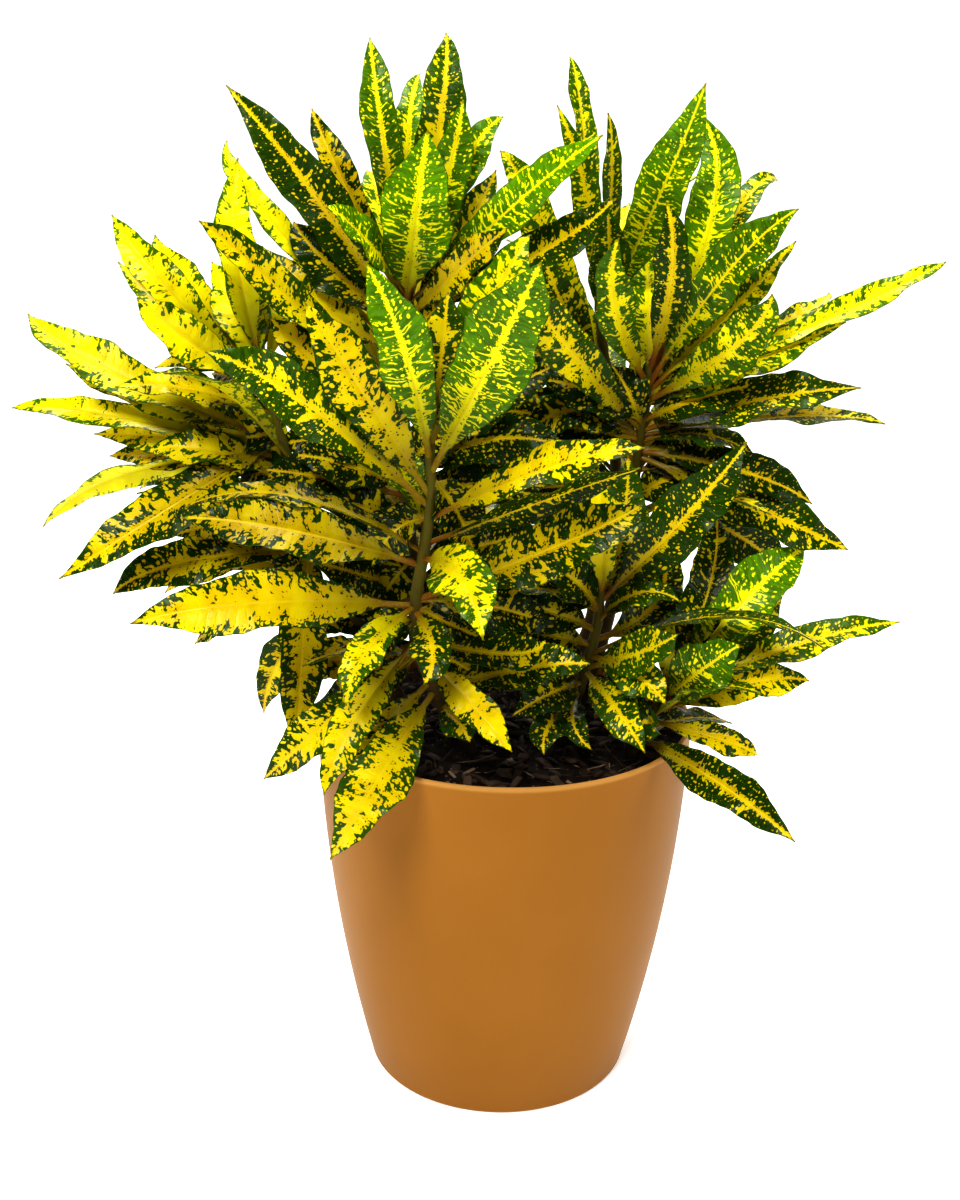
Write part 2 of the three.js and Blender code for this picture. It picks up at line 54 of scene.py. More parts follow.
SIDE_SHARE = 0.3  # how much a way to the right counts beside a way up, when a leaf leans
GOLDEN_TURN = (math.sqrt(5) - 1) / 2
GROWN_ARC, GROWN_RISE, GROWN_SHORTENING = math.radians(160), (0.2, 1.0), 0.25
GROWN_DROOP, GROWN_ARCH = 0.15, 0.12

# ---- sizes in millimetres of what the scene adds ----
FOOT_EASE, LIP_HEIGHT = 3.0, 2.2
LIP_HIGHLIGHT_SPAN = (0.2215, 0.2238)  # in metres, the heights between which a painted highlight pales the top of the pot's lip
UNDERSIDE = [(66.0, 1.2), (70.0, 1.2), (72.5, 0.0)]  # radius and height
CRUMBS = [(3.2, 11.0), (2.6, 5.0), (1.6, 2.1)]  # height and breadth
CHIP_LENGTH, CHIP_WIDTH, CHIP_THICKNESS = (4, 15), (2, 7), (0.8, 3)
FIBRE_LENGTH, FIBRE_WIDTH, FIBRE_THICKNESS = (8, 26), (0.5, 1.1), (0.4, 0.9)
FIBRES, PALE_CHIPS = 0.35, 0.09  # shares of all the chips
CHIP_SQUARENESS, CHIP_JITTER, CHIP_BEND, CHIP_SEAT = 0.55, 0.28, 0.018, 0.6
CHIP_PITCH, CHIP_TILT, CHIP_POLE = 0.28, 0.35, 0.12  # angles in radians
CHIP_TONES, PALE_TONES, CHIP_MARGIN = (0, 0.22), (0.5, 1), 2
JOINT_SPACING, JOINT_SWELL, JOINT_WAIST, JOINT_SHARPNESS = 9.0, 0.35, 0.15, 40.0
STEM_CAP = 1.5
PLUG_HEIGHTS, PLUG_EDGE, PLUG_CENTRE = [POT_FLOOR + SOIL_GAP, 95.0, 190.0], SOIL_LEVEL - 3.0, 0.02
NICK, NICK_WAVES, NICK_SHIFT = 0.05, (7.3, 3.1), 0.4
CURL, CURL_WAVES, CURL_SHIFT = 0.045, 6.1, 0.3
VEIN_SPACING, VEIN_SLANT, PILLOW, PILLOW_FADE = 7.5, 0.62, 0.3, 8.0
GROOVE, GROOVE_WIDTH = 0.45, 1.0
KEEL, KEEL_WIDTH = 1.0, 1.1
RIB_FADE, RIB_THINNING = 5.0, 0.6
MARGIN_THINNING, STALK_LEAST = 0.55, 0.02
FOLD_POWER, COLUMN_GATHER = 1.1, 1.45  # of the distance from the midrib
BACK_GOLD, BACK_FRESH, BACK_BAND = (0.2, 0.75), (0.05, 0.6), (0.3, 0.9)

# ---- how finely the pieces are drawn ----
LEAF_ROWS, LEAF_COLUMNS = 50, 17
STEM_RINGS, STEM_SIDES = 90, 14
POT_SIDES, POT_RINGS = 180, 40
COMPOST_SIDES, COMPOST_RINGS = 260, 80
CHIPS, CHIP_ROWS, CHIP_COLUMNS = 520, 5, 8
CURVE_STEPS, LINE_STEPS, LATTICE = 1201, 201, 64
FOOT_STEPS, LIP_STEPS, FLOOR_STEPS = 7, 13, 17

# ---- the station point from which the plant is plotted ----
EYE = np.array([0.0, -867.0, 581.0])
PITCH, YAW, ROLL = math.radians(18.39), math.radians(-1.02), math.radians(0.95)
FOCAL, PLATE = 1579.0, (960.0, 1200.0)
LOOK = np.array([math.sin(YAW) * math.cos(PITCH), math.cos(YAW) * math.cos(PITCH),
                 -math.sin(PITCH)])
LEVEL_RIGHT = np.array([math.cos(YAW), -math.sin(YAW), 0.0])
LEVEL_UP = np.cross(LEVEL_RIGHT, LOOK)
PLATE_RIGHT = LEVEL_RIGHT * math.cos(ROLL) + LEVEL_UP * math.sin(ROLL)
PLATE_UP = LEVEL_UP * math.cos(ROLL) - LEVEL_RIGHT * math.sin(ROLL)

# Stems from the soil up: across and down on the plate, millimetres in front of the pot's axis.
STEMS = {
    "stem_front": [(470, 752, 45), (440, 700, 58), (416, 640, 68), (416, 600, 74), (424, 550, 80),
                   (431, 500, 84), (430, 462, 86), (430, 440, 87)],
    "stem_top": [(452, 745, 0), (430, 650, 0), (408, 520, 0), (396, 420, 5), (400, 350, 10),
                 (407, 305, 15), (409, 270, 16)],
    "stem_left": [(420, 748, 15), (372, 650, 22), (322, 550, 25), (287, 455, 25), (268, 400, 20),
                  (262, 350, 18)],
    "stem_right": [(565, 742, -20), (602, 640, -22), (628, 520, -12), (640, 440, 0), (646, 400, 4),
                   (650, 365, 6)],
    "stem_right_back": [(545, 740, -50), (585, 640, -55), (612, 520, -48), (614, 420, -40),
                        (602, 340, -38), (598, 290, -38)],
    "stem_low_centre": [(560, 742, 25), (582, 680, 32), (597, 625, 40), (601, 590, 44)],
    "stem_low_right": [(632, 742, 40), (652, 715, 48), (667, 685, 52)],
}

# Leaves of each stem: height of the joint on the plate, tip across, down and forward, middle across
# and down, width in millimetres, lean in degrees; then hundredths of gold in the blade, of fresh
# bright green, and of width of the gold band along the midrib.
LEAVES = {
    "stem_left": [
        (445, 28, 314, 10, 108, 369, 27, 35,  80, 38, 30),
        (460, 12, 408, 15, 110, 416, 20, 45,  80, 50, 30),
        (458, 43, 527, 20, 130, 473, 20, -52,  95, 60, 20),
        (440, 59, 579, 75, 165, 511, 29, 25,  48, 8, 95),
        (475, 140, 489, -10, 195, 465, 21, 30,  35, 10, 60),
        (415, 115, 387, 55, 190, 389, 24, 50,  74, 18, 50),
        (392, 155, 368, 0, 208, 362, 13, 30,  70, 20, 50),
        (392, 112, 215, 0, 165, 285, 21, 0,  80, 40, 30),
        (385, 155, 235, -40, 190, 302, 28, 5,  82, 32, 30),
        (375, 238, 158, 10, 236, 250, 21, 10,  88, 60, 30),
        (432, 168, 425, -20, 225, 425, 24, 30,  40, 10, 50),
        (548, 113, 594, 50, 186, 562, 27, 25,  38, 3, 60),
        (565, 165, 593, 10, 230, 560, 21, 30,  70, 10, 50),
        (600, 195, 644, 20, 245, 618, 21, 50,  30, 10, 50),
        (520, 295, 756, 62, 303, 640, 27, 0,  42, 5, 80),
        (600, 264, 713, 0, 284, 655, 22, 0,  40, 10, 60),
        (388, 137, 298, 50, 184, 338, 26, 30,  84, 32, 30),
        (475, 148, 452, 35, 205, 450, 24, 40,  50, 20, 50),
        (480, 183, 522, 0, 235, 502, 26, 20,  45, 10, 60),
        (380, 212, 262, -10, 238, 312, 24, 0,  75, 50, 30),
        (690, 298, 676, 28, 335, 660, 25, 10,  40, 5, 60),
        (378, 318, 243, -24, 288, 292, 16, 20,  50, 60, 60),
        (470, 110, 456, 5, 178, 456, 21, 35,  50, 10, 50),
    ],
    "stem_top": [
        (350, 227, 141, -15, 264, 213, 16, 40,  80, 60, 30),
        (405, 199, 221, 70, 272, 283, 23, 35,  50, 20, 60),
        (330, 226, 85, 20, 316, 197, 27, 0,  16, 12, 60),
        (310, 312, 109, 0, 343, 181, 17, 0,  52, 5, 60),
        (300, 370, 38, -5, 382, 130, 19, 0,  14, 42, 45),
        (298, 446, 33, 0, 440, 125, 24, 0,  26, 25, 60),
        (292, 420, 74, -50, 408, 140, 18, 0,  22, 60, 60),
        (308, 428, 130, 55, 416, 215, 37, 0,  12, 85, 95),
        (302, 503, 117, 15, 462, 170, 18, 10,  18, 75, 60),
        (305, 463, 100, 35, 445, 185, 23, 10,  22, 60, 70),
        (306, 603, 135, 60, 518, 202, 22, 20,  12, 90, 15),
        (318, 614, 199, 45, 545, 250, 23, 25,  12, 11, 60),
        (322, 508, 228, 60, 465, 265, 20, 30,  60, 10, 50),
        (296, 326, 207, 70, 362, 236, 21, 50,  12, 80, 25),
        (435, 270, 318, 35, 315, 362, 24, 20,  50, 10, 60),
        (440, 562, 362, 25, 482, 400, 32, 15,  26, 3, 60),
        (470, 566, 448, 35, 492, 440, 31, 25,  26, 3, 60),
        (485, 292, 455, 35, 345, 464, 30, 25,  24, 0, 60),
        (530, 316, 506, 45, 362, 508, 26, 25,  26, 0, 60),
        (590, 312, 562, 50, 362, 575, 27, 25,  28, 3, 60),
        (505, 548, 506, 30, 485, 486, 30, 25,  24, 2, 60),
        (560, 545, 528, 45, 480, 546, 30, 20,  24, 2, 50),
        (495, 264, 470, 45, 325, 478, 27, 20,  24, 0, 50),
        (380, 272, 340, -12, 325, 350, 24, 20,  50, 20, 50),
        (545, 300, 545, 40, 355, 540, 26, 20,  26, 3, 50),
        (600, 328, 612, 45, 368, 600, 26, 15,  35, 5, 60),
        (325, 496, 170, 8, 462, 236, 21, 0,  45, 20, 40),
    ],
    "stem_front": [
        (508, 205, 352, 120, 300, 400, 29, 20,  28, 20, 75),
        (475, 541, 262, 150, 497, 350, 38, 0,  10, 62, 70),
        (462, 365, 262, 125, 404, 350, 27, 0,  14, 72, 60),
        (498, 305, 303, 105, 358, 385, 29, 0,  55, 12, 60),
        (560, 483, 640, 155, 461, 578, 30, 10,  56, 35, 95),
        (520, 645, 448, 115, 550, 468, 26, 42,  54, 10, 60),
        (600, 642, 505, 90, 560, 545, 32, 15,  44, 4, 60),
        (565, 182, 518, 95, 290, 530, 30, 22,  68, 0, 50),
        (552, 185, 508, 70, 290, 496, 23, 62,  52, 0, 60),
        (605, 130, 624, 115, 255, 603, 32, 12,  76, 10, 50),
        (650, 264, 779, 70, 322, 728, 25, 10,  42, 10, 60),
        (605, 346, 706, 130, 366, 652, 20, 20,  50, 35, 60),
        (640, 324, 795, 125, 352, 725, 21, 0,  68, 25, 40),
        (690, 330, 860, 155, 378, 778, 32, 0,  64, 18, 60),
        (655, 512, 752, 115, 475, 708, 19, 0,  82, 12, 30),
        (610, 424, 684, 120, 432, 650, 22, 0,  30, 10, 60),
        (680, 345, 780, 100, 378, 738, 21, 10,  60, 5, 50),
        (690, 590, 664, 85, 530, 668, 25, 30,  26, 8, 60),
        (640, 545, 640, 95, 510, 654, 22, 30,  30, 3, 50),
        (448, 448, 292, 105, 441, 360, 26, 0,  38, 15, 40),
        (545, 640, 468, 75, 545, 500, 24, -55,  20, 10, 20),
        (445, 530, 235, 95, 488, 310, 26, 0,  50, 50, 50),
        (620, 358, 652, 60, 390, 628, 22, 10,  35, 5, 50),
        (705, 470, 742, 85, 458, 722, 20, 10,  30, 10, 50),
    ],
    "stem_right": [
        (455, 848, 550, 25, 763, 511, 29, 20,  24, 8, 75),
        (442, 757, 459, 10, 705, 435, 24, 55,  20, 20, 30),
        (436, 885, 424, 40, 790, 417, 24, 66,  45, 14, 40),
        (430, 861, 388, 35, 756, 401, 32, 45,  26, 14, 60),
        (400, 946, 262, 30, 848, 310, 21, 52,  58, 55, 50),
        (405, 829, 294, -15, 785, 325, 19, 60,  60, 20, 50),
        (402, 772, 294, 62, 738, 344, 26, 5,  36, 40, 60),
        (392, 796, 241, 20, 735, 308, 20, 40,  40, 40, 50),
        (388, 799, 209, 50, 728, 272, 26, 20,  14, 50, 10),
        (378, 777, 181, -60, 735, 215, 16, 30,  40, 30, 50),
        (370, 700, 114, -20, 713, 213, 26, 0,  14, 80, 75),
        (372, 666, 202, 35, 672, 275, 20, 0,  14, 11, 75),
        (385, 619, 238, 50, 614, 305, 21, 10,  24, 35, 80),
        (430, 526, 284, 60, 565, 345, 26, 10,  35, 20, 70),
        (442, 520, 445, 0, 572, 411, 26, 25,  34, 5, 50),
        (422, 766, 384, 15, 702, 398, 26, 35,  30, 10, 50),
        (470, 722, 480, -35, 684, 466, 30, 35,  24, 3, 50),
        (490, 792, 578, -30, 728, 530, 31, 10,  24, 3, 50),
        (500, 702, 462, -10, 668, 478, 27, 20,  30, 5, 50),
        (420, 543, 380, 10, 592, 392, 26, 15,  24, 3, 50),
        (440, 538, 432, -12, 590, 430, 25, 10,  26, 3, 50),
        (412, 716, 453, -25, 685, 437, 24, 25,  30, 10, 50),
    ],
    "stem_right_back": [
        (310, 570, 57, -40, 583, 130, 16, 45,  22, 45, 40),
        (316, 557, 105, -15, 588, 200, 16, 0,  28, 45, 60),
        (322, 608, 113, 15, 611, 190, 13, 40,  24, 30, 40),
        (335, 606, 203, 28, 609, 260, 21, 0,  16, 30, 40),
        (440, 500, 151, -35, 545, 235, 21, 0,  50, 50, 50),
        (405, 543, 250, -25, 564, 308, 21, 0,  35, 20, 40),
        (480, 552, 482, -30, 584, 478, 24, 10,  24, 3, 50),
        (322, 706, 83, 40, 662, 190, 27, 0,  10, 88, 10),
    ],
    "stem_low_centre": [
        (605, 490, 585, 70, 545, 590, 23, 65,  26, 3, 50),
        (612, 534, 560, 55, 572, 578, 25, 25,  26, 3, 50),
        (668, 678, 634, 78, 642, 652, 25, 20,  30, 30, 40),
        (620, 680, 602, 60, 640, 593, 21, 40,  15, 20, 30),
        (602, 747, 442, 55, 683, 520, 31, 0,  18, 12, 60),
        (600, 628, 455, 3, 622, 530, 28, 0,  30, 20, 60),
        (596, 598, 468, 45, 603, 535, 17, 0,  70, 30, 60),
        (655, 826, 650, 95, 720, 617, 19, 74,  10, 18, 12),
        (655, 665, 704, 75, 637, 676, 23, 10,  45, 20, 50),
        (670, 645, 753, 85, 617, 710, 22, 0,  35, 20, 50),
        (640, 660, 535, -17, 657, 600, 27, 0,  15, 10, 50),
        (630, 478, 600, 50, 538, 608, 26, 15,  24, 2, 50),
        (700, 544, 755, 80, 549, 725, 21, 0,  20, 10, 40),
        (690, 592, 750, 72, 573, 722, 16, 0,  10, 10, 30),
        (682, 512, 716, 75, 550, 694, 24, 15,  20, 5, 40),
    ],
    "stem_low_right": [
        (735, 795, 842, 150, 722, 785, 23, 10,  26, 4, 75),
        (720, 757, 755, 60, 722, 740, 16, 20,  50, 10, 60),
        (712, 809, 681, 50, 750, 683, 22, 15,  50, 18, 50),
        (698, 900, 622, 40, 800, 644, 23, 40,  38, 30, 60),
        (702, 740, 645, 75, 704, 668, 30, 0,  16, 45, 30),
        (692, 806, 546, 15, 750, 595, 31, 0,  16, 75, 50),
        (690, 716, 515, 5, 708, 592, 27, 0,  24, 8, 20),
        (700, 782, 598, 10, 735, 640, 26, 10,  30, 20, 50),
        (722, 618, 730, 72, 645, 722, 22, 15,  25, 10, 40),
    ],
}

# Small dark leaves inside the plant, behind those above, with the same columns.
INNER = {
    "stem_left": [
        (430, 222, 440, 15, 252, 437, 22, 20,  35, 0, 30),
        (402, 212, 374, -5, 240, 380, 22, 20,  30, 0, 30),
        (560, 250, 600, 20, 285, 572, 26, 10,  30, 0, 40),
        (490, 236, 472, 15, 268, 474, 24, 10,  40, 0, 40),
        (520, 172, 536, 30, 240, 520, 24, 10,  45, 3, 40),
        (440, 94, 434, 10, 180, 436, 22, 20,  70, 30, 30),
        (438, 66, 364, 5, 150, 398, 20, 30,  82, 45, 20),
        (388, 118, 262, -5, 182, 322, 22, 20,  82, 45, 30),
    ],
    "stem_top": [
        (446, 276, 446, 18, 336, 438, 32, 10,  30, 0, 40),
        (330, 294, 222, 0, 328, 264, 26, 10,  26, 5, 50),
        (352, 262, 246, 5, 312, 300, 24, 10,  55, 20, 40),
        (345, 456, 296, 12, 428, 316, 24, 10,  30, 0, 40),
        (470, 462, 436, 20, 428, 446, 26, 10,  25, 0, 40),
        (490, 548, 486, 22, 478, 486, 30, 20,  35, 0, 40),
        (520, 482, 540, 24, 440, 515, 30, 10,  30, 0, 40),
        (560, 372, 612, 26, 398, 575, 30, 10,  35, 0, 40),
        (575, 502, 640, 24, 455, 596, 34, 10,  30, 0, 50),
        (610, 306, 628, 24, 352, 612, 28, 10,  35, 0, 40),
        (640, 338, 706, 28, 372, 668, 28, 10,  30, 0, 40),
        (650, 500, 690, 30, 455, 662, 30, 10,  30, 0, 40),
    ],
    "stem_front": [
        (600, 560, 628, 48, 488, 606, 30, 15,  30, 0, 40),
        (520, 372, 566, 46, 396, 530, 28, 10,  30, 0, 40),
        (480, 476, 560, 50, 456, 510, 26, 10,  30, 0, 40),
        (606, 490, 642, 50, 450, 624, 28, 10,  30, 0, 40),
        (652, 314, 704, 50, 366, 690, 26, 10,  35, 0, 40),
    ],
    "stem_right": [
        (440, 524, 346, -10, 580, 384, 26, 10,  30, 0, 40),
        (462, 496, 410, -14, 566, 424, 26, 10,  30, 0, 40),
        (490, 520, 490, -10, 580, 486, 26, 10,  30, 0, 40),
        (412, 694, 336, -12, 668, 372, 26, 10,  30, 3, 40),
        (404, 846, 322, 20, 745, 366, 24, 40,  45, 60, 50),
        (450, 812, 504, 15, 745, 472, 24, 20,  24, 3, 40),
        (428, 612, 366, 0, 628, 392, 24, 10,  25, 0, 40),
        (448, 566, 350, -14, 602, 394, 26, 10,  25, 0, 40),
        (452, 732, 452, -22, 688, 448, 24, 20,  25, 0, 40),
    ],
    "stem_right_back": [
        (418, 512, 402, -24, 562, 408, 28, 10,  30, 0, 40),
    ],
    "stem_low_centre": [
        (645, 474, 622, 24, 536, 632, 30, 15,  30, 0, 50),
        (612, 512, 590, 20, 556, 590, 28, 10,  30, 0, 40),
        (660, 520, 676, 34, 556, 660, 28, 10,  25, 0, 40),
    ],
    "stem_low_right": [
        (705, 600, 668, 30, 634, 680, 26, 10,  25, 0, 40),
    ],
}

# Leaves at each stem's back: count, lowest and highest joint, length, width, bearing of their arc.
GROWN = {
    "stem_front": (2, 0.5, 0.8, 90, 25, 200),
    "stem_top": (12, 0.45, 0.97, 140, 28, 84),
    "stem_left": (7, 0.45, 0.97, 120, 27, 155),
    "stem_right": (5, 0.55, 0.97, 125, 28, 15),
    "stem_right_back": (10, 0.4, 0.97, 140, 28, 85),
    "stem_low_centre": (2, 0.62, 0.9, 85, 25, 120),
    "stem_low_right": (3, 0.6, 0.95, 85, 25, 20),
}

# Where the count of the inner leaves starts, for the waves of their margins, and the seeds.
INNER_FIRST, LEAF_SEED, CHIP_SEED = 300, 400, 21

# The pattern of the leaves: lengths in millimetres, scales of noise for each millimetre.
LEAF_APART = 733.0  # how far the leaves lie from one another in the noise
LEAN_BACK, WANDER = 0.36, 7.0  # of the lines that the pattern follows
SLOW_SCALE, SLOW_GAIN = 0.10, 6.0
CLUMP_SCALE, CLUMP_NARROW, CLUMP_GAIN = 0.24, 0.60, -0.10
HALVES_DIFFER, TIP_LOSS = 1.6, 1.0
SHARPNESS = 0.012  # half the range of noise over which green turns to gold
BAND_WIDTH, COMB_SCALE, COMB_DEPTH = (0.4, 4.2), 0.85, 3.2
SHOOT_SCALE, SHOOT_LENGTH, DASH_SCALE = 0.26, 4.0, 0.62
RIB_PACE, RIB_SHARE, LEATHER_SCALE, LEATHER_SHARE = 0.60, 0.6, 1.6, 0.35
SCAR_TURNS = (0.1111, 0.159)  # rings of scars for each millimetre up a stem and radian round it

# Colours, as red, green and blue from 0 to 1, and an alpha of 1.
DARK_GREEN, FRESH_GREEN = (0.008, 0.026, 0.0005, 1), (0.142, 0.312, 0.001, 1)
DULL_GREEN, MARGIN_GREEN = (0.006, 0.019, 0.001, 1), (0.012, 0.034, 0.002, 1)
OCHRE, GOLDEN, LEMON = (0.34, 0.235, 0.0, 1), (0.55, 0.375, 0.0, 1), (0.88, 0.88, 0.003, 1)
MIDRIB, AMBER = (0.68, 0.52, 0.02, 1), (0.48, 0.30, 0.001, 1)
PAINTED_BASE_SHADE, UNDERLEAF = (0.008, 0.013, 0.001, 1), (0.14, 0.15, 0.008, 1)
RED_STALK, OLIVE_STALK = (0.16, 0.050, 0.006, 1), (0.20, 0.15, 0.008, 1)
DARK_BROWN, LIGHT_BROWN = (0.030, 0.020, 0.006, 1), (0.090, 0.058, 0.016, 1)
DARK_OLIVE, LIGHT_OLIVE = (0.045, 0.050, 0.004, 1), (0.110, 0.090, 0.008, 1)
STEM_SCAR = (0.14, 0.045, 0.010, 1)
POT_DARK, POT_LIGHT = (0.272, 0.119, 0.015, 1), (0.298, 0.132, 0.019, 1)
PAINTED_LIP_HIGHLIGHT = (0.60, 0.34, 0.11, 1)
PEAT, LOAM, STRAW = (0.005, 0.003, 0.002, 1), (0.026, 0.016, 0.009, 1), (0.20, 0.15, 0.09, 1)
BLACK_BARK, BROWN_BARK = (0.008, 0.005, 0.003, 1), (0.046, 0.023, 0.012, 1)
PALE_BARK, WET_BARK = (0.30, 0.21, 0.13, 1), (0.008, 0.005, 0.004, 1)
FLOOR_DIM, FLOOR_PLAIN, WHITE = (0.90, 0.90, 0.90, 1), (0.93, 0.93, 0.93, 1), (1, 1, 1, 1)

# The studio, in metres: each light's place, aim, breadth and height, and power in watts.
LIGHTS = {
    "key": ((-0.5, -1.45, 2.05), (0, 0, 0.35), (0.8, 0.6), 38),
    "fill": ((1.6, -1.2, 1.3), (0, 0, 0.45), (1.0, 1.0), 14),
    "top": ((0.2, 0.3, 2.2), (0, 0, 0.3), (0.9, 0.8), 26),
    "back": ((-0.6, 1.8, 1.7), (0, 0, 0.4), (0.9, 0.9), 12),
    "left": ((-1.6, -0.4, 0.35), (0, 0, 0.12), (0.7, 0.5), 6),
}
FLOOR_FRONT, FLOOR_BACK, FLOOR_BEND, FLOOR_TOP, FLOOR_SIDE = -3.0, 2.0, 1.2, 5.0, 5.0
SURROUND, FLOOR_GLOW, SENSOR = 0.08, 0.30, 36.0  # the sensor's height in millimetres


# ---- sums on whole arrays ----
def unit(v):
    return v / np.linalg.norm(v, axis=-1, keepdims=True)


def dot(a, b):
    return np.sum(a * b, axis=-1, keepdims=True)


def mix(a, b, share):
    return a + (b - a) * share


def sight(across, down, forward):
    """Point on the ray from the eye through (across, down) of the plate, where y = -forward."""
    across, down, forward = (np.asarray(v, float)[..., None] for v in (across, down, forward))
    offset = PLATE_RIGHT * (across - PLATE[0] / 2) + PLATE_UP * (PLATE[1] / 2 - down)
    ray = LOOK + offset / FOCAL
    return EYE + ray * ((-forward - EYE[1]) / ray[..., 1:2])


def lattice_noise(x, y, size, seed):
    """Smooth noise in 0..1: random values on a square lattice of that size, blended between its
    corners with the ease 3s^2 - 2s^3."""
    table = np.random.default_rng(seed).random((LATTICE, LATTICE))
    gx, gy = x / size + LATTICE / 2 - 1, y / size + LATTICE / 2 - 1
    ix, iy = np.floor(gx).astype(int), np.floor(gy).astype(int)
    ex, ey = gx - ix, gy - iy
    ex, ey = ex * ex * (3 - 2 * ex), ey * ey * (3 - 2 * ey)
    ix, iy, jx, jy = ix % LATTICE, iy % LATTICE, (ix + 1) % LATTICE, (iy + 1) % LATTICE
    low, high = mix(table[ix, iy], table[jx, iy], ex), mix(table[ix, jy], table[jx, jy], ex)
    return mix(low, high, ey)


# ---- meshes ----
def piece(name, points, quads, triangles, material, node, attributes=None, sharp=50):
    """A mesh object from points in millimetres and whole arrays of faces, riding on the body."""
    mesh = bpy.data.meshes.new(name)
    mesh.vertices.add(len(points))
    mesh.vertices.foreach_set("co", (points * MM).astype(np.float32).ravel())
    corners = np.concatenate([np.asarray(quads, int).ravel(), np.asarray(triangles, int).ravel()])
    totals = np.concatenate([np.full(len(quads), 4), np.full(len(triangles), 3)]).astype(int)
    mesh.loops.add(len(corners))
    mesh.loops.foreach_set("vertex_index", corners.astype(np.int32))
    mesh.polygons.add(len(totals))
    starts = np.concatenate([[0], np.cumsum(totals)[:-1]])
    mesh.polygons.foreach_set("loop_start", starts.astype(np.int32))
    mesh.polygons.foreach_set("use_smooth", np.ones(len(totals), bool))
    mesh.update(calc_edges=True)
    for label, values in (attributes or {}).items():
        layer = mesh.attributes.new(label, "FLOAT_VECTOR", "POINT")
        layer.data.foreach_set("vector", values.astype(np.float32).ravel())
    mesh.set_sharp_from_angle(angle=math.radians(sharp))
    mesh.materials.append(material)
    made = bpy.data.objects.new(name, mesh)
    bpy.context.scene.collection.objects.link(made)
    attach(made, "root")
    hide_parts(node)
    return made


def grid_faces(rows, columns):
    """Quads of a grid that is closed round its columns, outward where columns turn left-handed
    round the direction of the rows."""
    i, j = np.meshgrid(np.arange(rows - 1), np.arange(columns), indexing="ij")
    a, b = i * columns + j, i * columns + (j + 1) % columns
    return np.stack([a, b, b + columns, a + columns], axis=-1).reshape(-1, 4)


def end_fans(rows, columns):
    """Triangles that close such a grid at its ends, to the two points that come after its own."""
    j = np.arange(columns)
    k, last, count = (j + 1) % columns, (rows - 1) * columns, rows * columns
    return np.concatenate([np.stack([k, j, np.full(columns, count)], axis=-1),
                           np.stack([last + j, last + k, np.full(columns, count + 1)], axis=-1)])


def turned_body(radius, height, angle, low, high):
    """Closed body round the axis: ring i holds the points (radius, height) at each angle, and fans
    close it to the points (0, 0, low) under the first ring and (0, 0, high) over the last."""
    x, y = radius * np.sin(angle), -radius * np.cos(angle)
    points = np.stack([x, y, height], axis=-1).reshape(-1, 3)
    points = np.concatenate([points, [[0, 0, low], [0, 0, high]]])
    return points, grid_faces(*radius.shape), end_fans(*radius.shape)


# ---- pot and compost ----
def pot_radius(z):
    """Straight taper from foot to rim plus a belly of height share times its rest."""
    t = z / POT_HEIGHT
    return FOOT_RADIUS + (RIM_RADIUS - FOOT_RADIUS) * (t + BULGE * t * (1 - t))


def pot_shell(material):
    """The pot's profile turned round its axis: a dished underside, an eased foot, the bellied wall,
    a lip rounded as half a circle across the wall's thickness, and the inside."""
    turn = np.radians(np.linspace(0, 90, FOOT_STEPS))
    foot = np.stack([pot_radius(FOOT_EASE) - FOOT_EASE * (1 - np.sin(turn)),
                     FOOT_EASE * (1 - np.cos(turn))], axis=-1)
    rise = np.linspace(FOOT_EASE, POT_HEIGHT - LIP_HEIGHT, POT_RINGS)[1:]
    outside = np.stack([pot_radius(rise), rise], axis=-1)
    over = np.radians(np.linspace(0, 180, LIP_STEPS))[1:-1]
    lip = np.stack([pot_radius(POT_HEIGHT) - WALL / 2 + WALL / 2 * np.cos(over),
                    POT_HEIGHT - LIP_HEIGHT + LIP_HEIGHT * np.sin(over)], axis=-1)
    inside = outside[::-1] - [WALL, 0]
    inside = inside[inside[:, 1] > POT_FLOOR + FOOT_EASE]
    floor = np.array([[inside[-1, 0] - FOOT_EASE, POT_FLOOR]])
    profile = np.concatenate([UNDERSIDE, foot, outside, lip, inside, floor])
    angle = np.linspace(0, 2 * np.pi, POT_SIDES, endpoint=False)[None, :]
    radius = np.repeat(profile[:, :1], POT_SIDES, axis=1)
    height = np.repeat(profile[:, 1:], POT_SIDES, axis=1)
    points, quads, fans = turned_body(radius, height, angle, UNDERSIDE[0][1], POT_FLOOR)
    return piece("pot_shell", points, quads, fans, material, "pot", sharp=60)


def soil_height(x, y):
    """The source's low crown and lumps, and over them crumbs of three sizes from lattice noise."""
    radius, angle = np.hypot(x, y), np.arctan2(x, -y)
    share = radius / RIM_RADIUS
    lumps = sum(np.sin(waves * angle + twist * radius) for waves, twist in LUMPS)
    shape = SOIL_LEVEL + SOIL_CROWN * (1 - share**2) + SOIL_LUMP * lumps * share * (1 - share) * 2
    for seed, (high, broad) in enumerate(CRUMBS, 1):
        shape = shape + high * (lattice_noise(x, y, broad, seed) - 0.5)
    return shape


